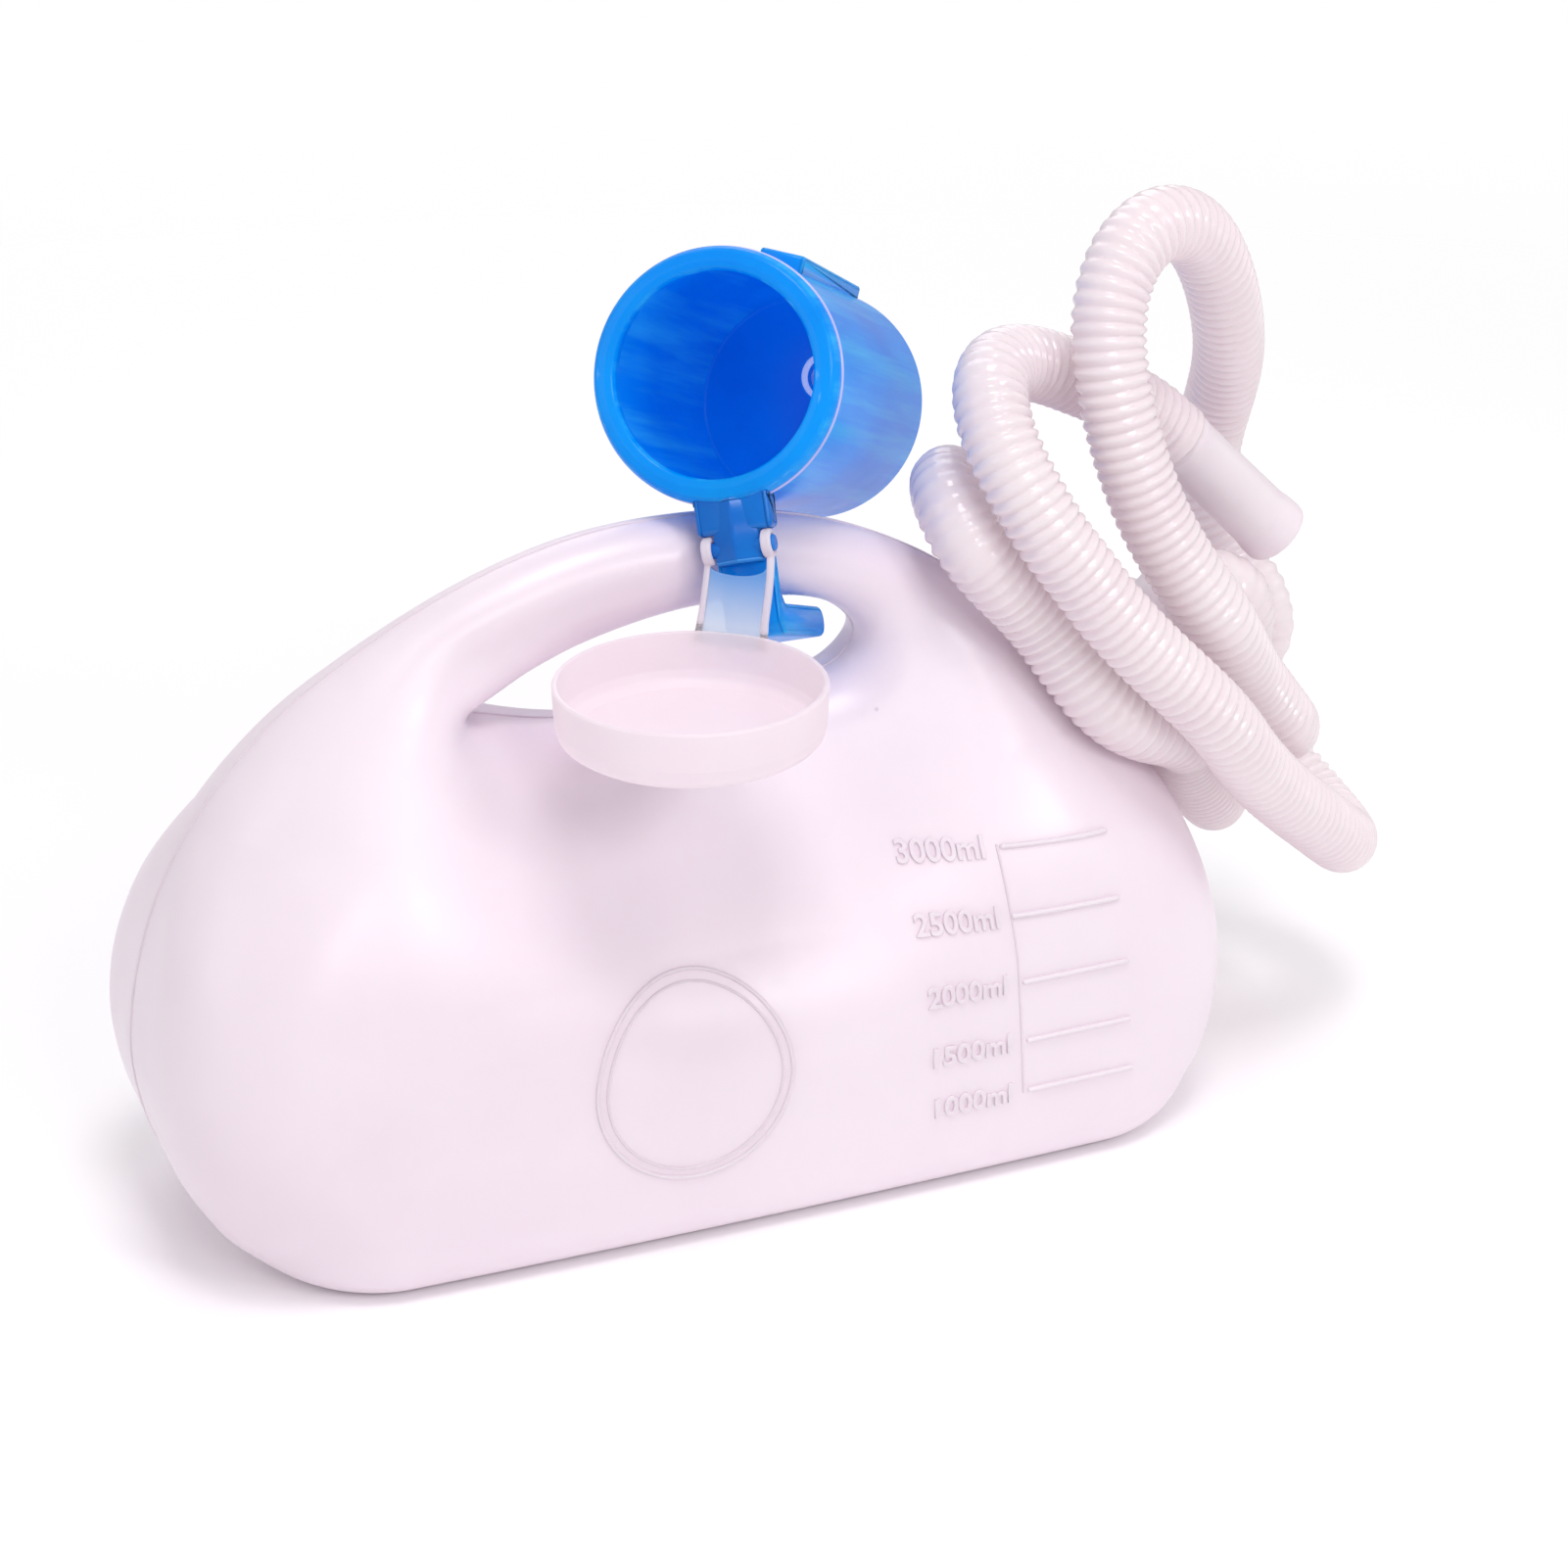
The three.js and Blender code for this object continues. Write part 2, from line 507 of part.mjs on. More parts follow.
function makeCup() {
  const spigot = turned([[0, OUTLET_END], [OUTLET_R - 0.7, OUTLET_END],
    [OUTLET_R, OUTLET_END + 1], [OUTLET_R, CUP_FLOOR - 1.5], [0, CUP_FLOOR - 1.5]], 24, OUTLET);
  const bore = turned([[0, OUTLET_END - 4], [OUTLET_BORE_R, OUTLET_END - 4],
    [OUTLET_BORE_R, SEAT_Z], [SEAT_R, SEAT_Z], [SEAT_R, CUP_FLOOR + 3],
    [0, CUP_FLOOR + 3]], 24, OUTLET);
  const block = placed(slab(BLOCK, -6.5, 6.5), new THREE.Matrix4().makeRotationZ(BLOCK_TURN));
  const down = AXIS_Y.clone().negate();
  const cup = turned(CUP_PROFILE, 32).add(spigot).subtract(bore).add(block)
    .add(slab(LUG_HEAD, -10.5, 10.5))
    .add(extruded(LUG_BAR, [AXIS_X, AXIS_Z, down], 32.9, 50.1))
    .add(slab(polygon(PIN_R, 12, HINGE, 0.5), -10.2, 10.2))
    .add(slab(CLIP, -8, 8));
  return placed(cup, CUP);
}

// (radius, height above the cup's floor)
const OUTLET_RING = [[5.6, -1.1], [6.9, -1.1], [6.9, 1.1], [6.5, 1.5], [5.9, 1.5], [5.6, 1.2]];

const makeOutletRing = () => turned(
  OUTLET_RING.map(([r, z]) => [r, CUP_FLOOR + z]), 24, CUP.clone().multiply(OUTLET));

// ---------------------------------------------------------------- lid with its strap
// The open lid hangs mouth up; its frame sits at the centre of its rim.
const lidCentre = vec([-16.6, -55, 164.1]);
const LID_R = 35.8;
const LID_INNER_R = LID_R - 1.5;
const LID_FLOOR = -16.5;
const LID_PROFILE = [
  [0, LID_FLOOR], [LID_R - 3.2, LID_FLOOR], [LID_R - 1.2, LID_FLOOR + 1],
  [LID_R - 0.5, LID_FLOOR + 3], [LID_R, 0], [LID_INNER_R, 0],
  [LID_INNER_R - 0.5, LID_FLOOR + 3.6], [LID_R - 3.4, LID_FLOOR + 1.8], [0, LID_FLOOR + 1.8]];
const EYE_R = 3.9;
const STRAP_HALF = 9.7; // half width over the eyes and edge bars
const STRAP_END = 0.93; // share of the strap's curve, inside the lid's wall

// Strap centre line: down from the hinge, then into the lid's wall.
const hinge = vec([0, ...HINGE]).applyMatrix4(CUP);
const towardsHinge = hinge.clone().sub(lidCentre).setZ(0).normalize();
const foot = lidCentre.clone().addScaledVector(towardsHinge, LID_R - 0.75);
const footSide = cross(towardsHinge, AXIS_Z);
const strapCurve = new THREE.CubicBezierCurve3(
  hinge,
  hinge.clone().addScaledVector(cupY, -9).addScaledVector(cupZ, 1.2),
  foot.clone().setZ(foot.z + 4),
  foot.clone().setZ(foot.z - 6),
);

// Four corners of the strip's section at t, between two sideways offsets.
function stripSection(t, left, right, thick) {
  const centre = strapCurve.getPoint(t);
  const along = strapCurve.getTangent(t);
  const side = cupX.clone().lerp(footSide, smooth(t)).normalize();
  const normal = cross(side, along).normalize();
  side.crossVectors(along, normal).normalize();
  const half = thick / 2;
  return [[left, -half], [right, -half], [right, half], [left, half]].map(([a, b]) =>
    centre.clone().addScaledVector(side, a).addScaledVector(normal, b));
}

const strip = (start, steps, left, right, thick) =>
  loft(Array.from({ length: steps + 1 }, (_, i) =>
    stripSection(start + (STRAP_END - start) * i / steps, left, right, thick)));

function makeLid() {
  const pinHole = polygon(PIN_R + 0.35, 12, HINGE, 0.5);
  let lid = turned(LID_PROFILE, 32, new THREE.Matrix4().setPosition(lidCentre));
  for (const sign of [-1, 1]) {
    const span = (inner) => (sign < 0 ? [-STRAP_HALF, -inner] : [inner, STRAP_HALF]);
    const eye = slab(polygon(EYE_R, 14, HINGE, 0.5), ...span(6.9), [pinHole]);
    lid = lid.add(placed(eye, CUP)).add(strip(0.08, 7, ...span(7.4), 2.4));
  }
  // thin web between the edge bars
  lid = lid.add(strip(0.27, 6, -8.2, 8.2, 1.6));
  return lid.subtract(placed(slab(pinHole, -12, 12), CUP));
}

// ---------------------------------------------------------------- scene graph
const group = new THREE.Group();

function place(name, part, look) {
  const material = new THREE.MeshStandardMaterial({ metalness: 0, ...look });
  const mesh = new THREE.Mesh(geometry(part), material);
  mesh.name = name;
  group.add(mesh);
}

const CUFF_LOOK = { color: '#eadde6', roughness: 0.38 };
const HOSE_LOOK = { color: '#f2e4ec', roughness: 0.35, transparent: true, opacity: 0.9 };
const LID_LOOK = { color: '#fbeff5', roughness: 0.4, transparent: true, opacity: 0.85 };

place('bottle_body', makeBody(), { color: '#efe2ec', roughness: 0.42 });
place('screw_cap', makeCap(), { color: '#f3eef3', roughness: 0.4 });
place('cap_washer', makeWasher(), { color: '#d9d5d6', roughness: 0.8 });
place('hose', makeHose(), HOSE_LOOK);
place('hose_free_cuff', makeFreeCuff(), CUFF_LOOK);
place('hose_cap_cuff', makeCapCuff(), CUFF_LOOK);
place('funnel_cup', makeCup(), { color: '#0b82e6', roughness: 0.22 });
place('outlet_ring', makeOutletRing(), { color: '#f3eef3', roughness: 0.35 });
place('lid_with_strap', makeLid(), LID_LOOK);

export default group;
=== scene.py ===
"""Looks of the ward urine bottle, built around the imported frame.

The bottle stands on z = 0 with its length along x. Its graduated front wall faces -y, the handle
is above the hole near the top, and the capped neck is at the +x end. A coiled hose runs from the
cap. A funnel cup hangs on the handle with a lid strapped below it. Shapes are worked out in
millimetres and written in metres.
"""
import math
import bpy
import numpy as np
from mathutils import Vector, Matrix


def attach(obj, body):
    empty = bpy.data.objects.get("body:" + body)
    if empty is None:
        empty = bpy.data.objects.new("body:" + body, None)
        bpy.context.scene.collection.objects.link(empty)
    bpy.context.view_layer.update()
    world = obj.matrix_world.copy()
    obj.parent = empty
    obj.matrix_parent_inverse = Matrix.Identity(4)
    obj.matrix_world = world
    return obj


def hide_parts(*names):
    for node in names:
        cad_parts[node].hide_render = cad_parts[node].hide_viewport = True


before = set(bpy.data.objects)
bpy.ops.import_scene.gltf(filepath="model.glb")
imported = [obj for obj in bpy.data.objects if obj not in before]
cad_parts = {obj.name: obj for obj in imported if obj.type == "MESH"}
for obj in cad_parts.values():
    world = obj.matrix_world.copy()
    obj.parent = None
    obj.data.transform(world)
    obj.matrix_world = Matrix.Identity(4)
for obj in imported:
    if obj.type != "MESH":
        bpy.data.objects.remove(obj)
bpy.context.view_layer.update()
MM = 0.001

# ------------------------------------------------------------------ dimensions, as in the CAD
WALL = 3.0
BODY_HALF_DEPTH, HANDLE_HALF_DEPTH = 63.0, 12.4
SIDE_ROUND, BASE_ROUND, HOLE_ROUND = 36.0, 11.0, 11.0

# Neck: base centre and direction. Cap and spigot stations are measured along the neck.
NECK_AT, NECK_DIR = (127, 0, 120.5), (0.8, 0, 0.6)
NECK_R, NECK_BORE_R, NECK_LEN = 15.0, 12.0, 12.0
NECK_FOOT, BORE_FOOT = 9.0, 30.0  # how far neck and bore reach back into the body
NECK_BLEND = 3.0
CAP_R, CAP_START, CAP_END, CAP_TOP = 20.0, 2.5, 17.5, 3.0
CAP_FLUTES, FLUTE_DEPTH = 40, 0.75
SPIGOT_R, SPIGOT_BORE_R, SPIGOT_END, HOSE_START = 7.0, 5.2, 27.0, 31.0

# Funnel cup: mouth centre, direction out of the mouth, and a sideways direction
CUP_AT, CUP_DIR, CUP_SIDE = (9.78, -4.53, 228.27), (-0.6027, -0.7079, 0.3681), (0.7968, -0.5582, 0.2312)
CUP_DEPTH, FLOOR_DEPTH = 95.0, 86.0
OUTLET_AT, OUTLET_R, OUTLET_BORE_R = (7.4, 6.0), 7.3, 4.8
CUP_ATTACH_Y = -32.4  # where lug ridge and clip start in the cup's wall
HINGE_Y, HINGE_Z, PIN_R = -46.0, -4.0, 2.2

LID_AT, LID_R, LID_H = (-16.6, -55, 164.1), 35.8, 16.5

# Side outline of the bottle as (x, z), from the top middle down the right half
OUTLINE_RIGHT = [
    [0, 188.5], [25, 186.5], [48, 180.5], [72, 169], [94, 153.5], [112, 138.5], [127, 120.5],
    [139, 101.5], [148, 83.5], [154, 64.5], [156.5, 49.5], [155.5, 32.5], [151, 16], [144, 2],
    [141, -30]]
# The left half as (distance left of x = 0, z), from the top down
OUTLINE_LEFT = [
    [25, 187], [48, 181.5], [72, 172], [94, 160], [113, 147], [131, 128.5], [145, 107],
    [153, 86], [157, 66], [157, 50], [153, 32], [144, 15], [134, 1], [131, -30]]
# Handle hole as (x, z), closed
HANDLE_HOLE = [
    [-64, 143], [-52, 148], [-30, 157], [-5, 162.5], [18, 163.5], [36, 161.5], [48, 156],
    [53, 147.5], [45, 138.5], [22, 134], [-8, 133], [-36, 135.5], [-54, 139.5]]
OUTLINE_STEPS = 14  # spline points per outline span

# Graduations: label, height z, left end of the digits, left and right ends of the line in x
GRADUATIONS = [
    ("3000", 97.6, 48.2, 77.1, 108.1),
    ("2500", 79.9, 49.0, 77.2, 109.0),
    ("2000", 61.2, 49.6, 79.1, 111.2),
    ("1500", 43.1, 51.0, 80.6, 112.3),
    ("1000", 27.4, 51.6, 81.2, 113.6)]
LABEL_WIDTH, LABEL_SIZE = 24.0, 7.9
RING_X, RING_Z = -19, 50.5  # centre of the plain rings on the front wall

# Centre line of the hose as (x, y, z), from the free end to the cap
HOSE_PATH = [
    [156.6, 6.7, 188.8], [152.5, 6.9, 192.6], [147.6, 6.8, 196.8], [139.6, 6.0, 202.2],
    [130.5, 4.6, 207.4], [121.0, 3.0, 212.2], [111.2, 1.0, 216.8], [101.0, -2.4, 220.4],
    [91.8, -8.6, 221.6], [85.4, -17.0, 218.4], [83.2, -25.6, 210.6], [85.2, -32.0, 201.2],
    [89.6, -36.6, 191.2], [95.0, -40.0, 181.4], [101.9, -42.1, 172.0], [108.4, -44.5, 162.7],
    [115.6, -46.7, 153.9], [123.3, -48.5, 145.5], [131.4, -49.7, 137.3], [139.5, -49.8, 129.0],
    [147.1, -48.0, 120.4], [154.0, -44.6, 111.8], [161.3, -40.7, 103.7], [169.0, -36.9, 95.9],
    [177.1, -33.2, 88.5], [185.3, -29.4, 81.4], [193.5, -25.1, 74.4], [201.4, -19.9, 67.6],
    [208.7, -13.4, 61.6], [214.9, -4.7, 57.3], [218.5, 6.2, 56.4], [218.2, 17.2, 59.7],
    [214.7, 26.3, 65.8], [209.4, 33.9, 72.7], [203.5, 41.0, 79.6], [197.3, 48.0, 86.4],
    [190.6, 53.6, 94.0], [183.7, 55.4, 103.0], [176.3, 54.2, 111.8], [166.6, 55.3, 117.7],
    [157.4, 61.8, 116.8], [154.0, 69.6, 109.3], [158.0, 73.4, 99.4], [165.6, 72.3, 90.8],
    [173.1, 69.0, 82.7], [179.8, 64.5, 74.4], [185.7, 58.5, 66.6], [190.1, 49.7, 60.6],
    [191.1, 38.5, 58.7], [187.8, 27.9, 61.6], [182.0, 19.9, 67.4], [175.3, 13.3, 74.3],
    [168.8, 7.2, 81.5], [162.6, 0.8, 88.9], [156.8, -5.9, 96.3], [152.1, -13.3, 103.8],
    [147.1, -23.0, 108.8], [138.3, -29.3, 114.8], [128.6, -33.6, 119.5], [119.0, -35.6, 125.5],
    [111.0, -34.0, 133.6], [105.0, -30.1, 142.6], [99.1, -26.5, 151.9], [91.9, -24.9, 160.7],
    [84.0, -24.6, 169.1], [77.4, -22.5, 178.3], [75.5, -14.9, 186.5], [79.0, -4.4, 188.8],
    [85.3, 4.2, 184.6], [92.1, 10.8, 177.9], [99.2, 16.9, 171.1], [106.6, 22.7, 164.5],
    [114.3, 28.1, 157.7], [122.2, 32.6, 150.6], [130.6, 35.2, 143.1], [139.3, 35.1, 135.6],
    [148.1, 33.7, 128.1], [156.8, 32.5, 120.6], [165.4, 32.0, 113.0], [174.5, 32.3, 105.8],
    [185.2, 32.8, 101.7], [195.9, 31.0, 105.1], [201.1, 28.6, 114.9], [199.5, 30.5, 126.0],
    [195.5, 36.7, 134.9], [192.7, 43.7, 143.6], [191.2, 48.3, 154.0], [190.5, 48.6, 165.5],
    [189.8, 45.2, 176.5], [188.8, 39.7, 186.6], [186.8, 33.3, 196.0], [183.7, 26.6, 204.9],
    [179.8, 20.3, 213.7], [175.3, 14.8, 222.8], [170.3, 10.1, 232.1], [164.5, 5.8, 241.1],
    [157.4, 1.5, 249.2], [148.5, -3.2, 254.7], [138.2, -8.0, 255.9], [128.6, -12.4, 251.4],
    [122.2, -16.2, 242.6], [119.4, -19.4, 231.9], [119.3, -22.3, 220.7], [120.9, -24.7, 209.6],
    [123.6, -26.7, 198.5], [127.3, -28.3, 187.7], [131.9, -29.8, 177.2], [137.5, -31.4, 167.2],
    [143.8, -32.8, 157.7], [150.6, -32.7, 148.3], [156.9, -29.7, 139.1], [163.2, -25.5, 130.3],
    [169.9, -21.8, 121.7], [177.1, -19.2, 113.1], [184.3, -15.8, 104.7], [189.5, -7.4, 99.2],
    [189.8, 3.8, 100.3], [188.6, 11.0, 106.9], [185.2, 13.2, 116.2], [181.5, 8.6, 125.2],
    [177.9, 1.8, 133.8], [173.8, -0.8, 141.1], [168.4, -0.4, 144.8], [161.8, 0.0, 145.0],
    [155.8, 0.0, 142.1], [151.8, 0.0, 139.1]]
CUFF_OPEN_AT = (189.6, 3.0, 156.5)  # open end of the free cuff
HOSE_R, HOSE_WALL, HOSE_MIN_BORE_R = 10.45, 1.15, 7.7
RIB_PITCH, RIB_STEPS, RIB_DEPTH = 3.5, 8, 1.10


# ------------------------------------------------------------------ shader helpers
def add_node(tree, kind, inputs=None, **settings):
    node = tree.nodes.new(kind)
    for setting, value in settings.items():
        setattr(node, setting, value)
    for socket, value in (inputs or {}).items():
        node.inputs[socket].default_value = value
    return node


def noise(tree, coords, scale, detail, roughness=0.5):
    node = add_node(tree, "ShaderNodeTexNoise",
                    {"Scale": scale, "Detail": detail, "Roughness": roughness})
    tree.links.new(coords, node.inputs["Vector"])
    return node.outputs["Fac"]


def map_range(tree, value, source, target=(0.0, 1.0), **settings):
    """Maps the range source onto the range target."""
    node = add_node(tree, "ShaderNodeMapRange",
                    {"From Min": source[0], "From Max": source[1],
                     "To Min": target[0], "To Max": target[1]}, **settings)
    tree.links.new(value, node.inputs["Value"])
    return node.outputs["Result"]


def mix_color(tree, factor, base, color):
    node = add_node(tree, "ShaderNodeMixRGB", {"Color2": (*color, 1)})
    tree.links.new(factor, node.inputs["Fac"])
    tree.links.new(base, node.inputs["Color1"])
    return node.outputs["Color"]


def bump(tree, height, strength, distance, base=None):
    node = add_node(tree, "ShaderNodeBump", {"Strength": strength, "Distance": distance})
    tree.links.new(height, node.inputs["Height"])
    if base:
        tree.links.new(base, node.inputs["Normal"])
    return node.outputs["Normal"]


def mix_to_output(tree, first, second, output):
    """Sends a mix of two shaders to the output and returns the mix factor's socket."""
    mixer = add_node(tree, "ShaderNodeMixShader")
    tree.links.new(first, mixer.inputs[1])
    tree.links.new(second, mixer.inputs[2])
    tree.links.new(mixer.outputs["Shader"], tree.nodes[output].inputs["Surface"])
    return mixer.inputs["Fac"]


# The cup's x, y and z directions, which the painted reflection streaks follow
STREAK_AXES = Matrix((CUP_SIDE, (0.0418, 0.4327, 0.9006), CUP_DIR))
STREAK_SIZE = (0.010, 0.007, 0.110)


def add_reflection_streaks(tree, coords, base, color):
    """Long soft pale streaks along the cup, a painted reflection of the bright surroundings."""
    mapping = add_node(tree, "ShaderNodeMapping",
                       {"Rotation": tuple(STREAK_AXES.transposed().to_euler()),
                        "Scale": STREAK_SIZE}, vector_type="TEXTURE")
    tree.links.new(coords, mapping.inputs["Vector"])
    grain = noise(tree, mapping.outputs["Vector"], scale=1.0, detail=3.0, roughness=0.6)
    amount = map_range(tree, grain, source=(0.46, 0.72), target=(0.0, 0.80))
    # faces square to the cup's axis stay plain
    geometry = add_node(tree, "ShaderNodeNewGeometry")
    facing = add_node(tree, "ShaderNodeVectorMath", {1: CUP_DIR}, operation="DOT_PRODUCT")
    size = add_node(tree, "ShaderNodeMath", operation="ABSOLUTE")
    masked = add_node(tree, "ShaderNodeMath", operation="MULTIPLY")
    tree.links.new(geometry.outputs["Normal"], facing.inputs[0])
    tree.links.new(facing.outputs["Value"], size.inputs[0])
    tree.links.new(amount, masked.inputs[0])
    side_mask = map_range(tree, size.outputs["Value"], source=(0.9, 0.5))
    tree.links.new(side_mask, masked.inputs[1])
    return mix_color(tree, masked.outputs["Value"], base, color)


def plastic(name, *, light, dark, patch_scale, roughness, grain_scale, grain_bump, edge_wear_and_highlight_color,
            gloss_range=0.06, scatter=0.0, scatter_radius=(0.010, 0.008, 0.009),
            wave_bump=0.0, wave_scale=0.0, edge_wear_and_highlight_mix=0.25, speck_mix=0.0, reflection_streak_color=None,
            coat=0.0, alpha=1.0, specular=0.5, through=0.0, glow=0.0):
    """Moulded plastic.

    light, dark, patch_scale: cloudy base colour; roughness +- gloss_range: cleaning haze;
    scatter, scatter_radius: subsurface; grain, wave: fine and slow bump; edge colour and mix:
    paler convex edges, partly scuffing and partly a painted highlight; speck_mix: strength of dark
    inclusions; reflection streak colour: pale streaks along the cup, a painted reflection;
    through: share of light a thin wall lets through; glow: emission in the base colour, painted
    light that brightens the part.
    """
    material = bpy.data.materials.new(name)
    material.use_nodes = True
    tree = material.node_tree
    principled = tree.nodes["Principled BSDF"]
    coords = add_node(tree, "ShaderNodeTexCoord").outputs["Object"]

    patches = noise(tree, coords, scale=patch_scale, detail=4.0, roughness=0.55)
    ramp = add_node(tree, "ShaderNodeValToRGB")
    for stop, position, stop_color in zip(ramp.color_ramp.elements, (0.34, 0.66), (dark, light)):
        stop.position = position
        stop.color = (*stop_color, 1)
    tree.links.new(patches, ramp.inputs["Fac"])
    color = ramp.outputs["Color"]
    if reflection_streak_color:
        color = add_reflection_streaks(tree, coords, color, reflection_streak_color)

    # convex edges turn paler: partly scuffing, partly a painted highlight
    geometry = add_node(tree, "ShaderNodeNewGeometry")
    edges = map_range(tree, geometry.outputs["Pointiness"],
                      source=(0.52, 0.62), target=(0.0, edge_wear_and_highlight_mix))
    color = mix_color(tree, edges, color, edge_wear_and_highlight_color)
    if speck_mix:
        cells = add_node(tree, "ShaderNodeTexVoronoi", {"Scale": 24.0})
        tree.links.new(coords, cells.inputs["Vector"])
        specks = map_range(tree, cells.outputs["Distance"],
                           source=(0.008, 0.020), target=(speck_mix, 0.0))
        color = mix_color(tree, specks, color, [channel * 0.62 for channel in dark])
    tree.links.new(color, principled.inputs["Base Color"])

    haze = noise(tree, coords, scale=55.0, detail=6.0, roughness=0.7)
    gloss = map_range(tree, haze, source=(0.3, 0.7),
                      target=(max(0.03, roughness - gloss_range), roughness + gloss_range))
    tree.links.new(gloss, principled.inputs["Roughness"])

    # fine moulded grain over slow waviness of the wall
    grain = noise(tree, coords, scale=grain_scale, detail=2.0)
    normal = bump(tree, grain, strength=grain_bump, distance=0.0004)
    if wave_bump:
        wave = noise(tree, coords, scale=wave_scale, detail=2.0)
        normal = bump(tree, wave, strength=wave_bump, distance=0.004, base=normal)
    tree.links.new(normal, principled.inputs["Normal"])

    values = {
        "IOR": 1.49,
        "Subsurface Weight": scatter,
        "Subsurface Radius": scatter_radius,
        "Subsurface Scale": 1.0,
        "Coat Weight": coat,
        "Coat Roughness": 0.08,
        "Alpha": alpha,
        "Specular IOR Level": specular}
    for socket, value in values.items():
        principled.inputs[socket].default_value = value
    # emission in the base colour: painted light that brightens the part
    if glow:
        tree.links.new(color, principled.inputs["Emission Color"])
        principled.inputs["Emission Strength"].default_value = glow
    if through:
        translucent = add_node(tree, "ShaderNodeBsdfTranslucent")
        tree.links.new(color, translucent.inputs["Color"])
        tree.links.new(normal, translucent.inputs["Normal"])
        factor = mix_to_output(tree, principled.outputs["BSDF"], translucent.outputs["BSDF"],
                               "Material Output")
        factor.default_value = through
    material.diffuse_color = (*light, 1)
    return material


def tint_by_height(material, low, high, amount, color):
    """Fades the base colour towards color between the heights low and high, in metres."""
    tree = material.node_tree
    base_input = material.node_tree.nodes["Principled BSDF"].inputs["Base Color"]
    base = base_input.links[0].from_socket
    coords = add_node(tree, "ShaderNodeTexCoord")
    split = add_node(tree, "ShaderNodeSeparateXYZ")
    tree.links.new(coords.outputs["Object"], split.inputs["Vector"])
    factor = map_range(tree, split.outputs["Z"], source=(low, high), target=(0.0, amount))
    tree.links.new(mix_color(tree, factor, base, color), base_input)


# ------------------------------------------------------------------ materials
NATURAL = plastic(
    "natural_polyethylene", light=(0.915, 0.775, 0.868), dark=(0.865, 0.715, 0.815),
    patch_scale=9.0, roughness=0.345, gloss_range=0.05, specular=0.75,
    scatter=0.30, scatter_radius=(0.014, 0.010, 0.012),
    grain_scale=700.0, grain_bump=0.04, wave_bump=0.06, wave_scale=20.0,
    edge_wear_and_highlight_color=(0.97, 0.89, 0.94), edge_wear_and_highlight_mix=0.3, speck_mix=0.55)
HOSE = plastic(
    "hose_polyethylene", light=(1.000, 0.925, 0.945), dark=(0.965, 0.860, 0.900),
    patch_scale=22.0, roughness=0.20, coat=0.5,
    scatter=0.30, scatter_radius=(0.006, 0.004, 0.005),
    grain_scale=1400.0, grain_bump=0.04,
    # glow: painted light that brightens the hose
    edge_wear_and_highlight_color=(1.0, 0.96, 0.97), edge_wear_and_highlight_mix=0.6, through=0.30, glow=0.05)
CUFF = plastic(
    "cuff_polyethylene", light=(0.950, 0.845, 0.895), dark=(0.900, 0.790, 0.850),
    patch_scale=30.0, roughness=0.36,
    scatter=0.35, scatter_radius=(0.006, 0.004, 0.005),
    grain_scale=1000.0, grain_bump=0.06, wave_bump=0.05, wave_scale=60.0,
    edge_wear_and_highlight_color=(0.97, 0.90, 0.94), through=0.15)
WHITE = plastic(
    "white_polypropylene", light=(0.90, 0.89, 0.90), dark=(0.84, 0.83, 0.85),
    patch_scale=40.0, roughness=0.36,
    scatter=0.12, scatter_radius=(0.004, 0.004, 0.004),
    grain_scale=1500.0, grain_bump=0.05, edge_wear_and_highlight_color=(0.96, 0.96, 0.97))
RUBBER = plastic(
    "washer_rubber", light=(0.66, 0.65, 0.66), dark=(0.58, 0.57, 0.58),
    patch_scale=80.0, roughness=0.75,
    grain_scale=2500.0, grain_bump=0.25, edge_wear_and_highlight_color=(0.75, 0.74, 0.74))
BLUE = plastic(
    "blue_polypropylene", light=(0.000, 0.410, 0.950), dark=(0.000, 0.330, 0.880),
    patch_scale=26.0, roughness=0.20, gloss_range=0.05, specular=0.30,
    scatter=0.10, scatter_radius=(0.001, 0.004, 0.008),
    grain_scale=1800.0, grain_bump=0.02, wave_bump=0.03, wave_scale=45.0,
    # streak colour: pale streaks along the cup, a painted reflection of the bright surroundings
    edge_wear_and_highlight_color=(0.20, 0.62, 1.0), edge_wear_and_highlight_mix=0.45, reflection_streak_color=(0.060, 0.660, 0.960),
    # glow: painted light that brightens the inside of the cup
    through=0.40, glow=0.10)
# darker blue for the lug: painted shade, the lug lying in the rim's shade
BLUE_PAINTED_SHADE = plastic(
    "blue_polypropylene_painted_shade", light=(0.000, 0.170, 0.620), dark=(0.000, 0.120, 0.520),
    patch_scale=40.0, roughness=0.22, gloss_range=0.05, specular=0.30,
    scatter=0.05, scatter_radius=(0.001, 0.003, 0.006),
    grain_scale=1800.0, grain_bump=0.02, wave_bump=0.03, wave_scale=60.0,
    edge_wear_and_highlight_color=(0.10, 0.45, 0.95), edge_wear_and_highlight_mix=0.6)
# pale bead colour: a painted highlight, the bright line along the rim flange's edge
BEAD_PAINTED_HIGHLIGHT = plastic(
    "rim_bead", light=(0.56, 0.56, 0.90), dark=(0.46, 0.48, 0.86),
    patch_scale=30.0, roughness=0.20, specular=0.4,
    grain_scale=1800.0, grain_bump=0.02, edge_wear_and_highlight_color=(0.7, 0.7, 0.95))
OUTLET = plastic(
    "outlet_ring_plastic", light=(0.88, 0.88, 0.94), dark=(0.80, 0.81, 0.90),
    patch_scale=40.0, roughness=0.36,
    scatter=0.1, scatter_radius=(0.003, 0.003, 0.003),
    # glow: painted light that brightens the ring in the cup's shade
    grain_scale=1500.0, grain_bump=0.04, edge_wear_and_highlight_color=(0.96, 0.96, 1.0), glow=0.30)
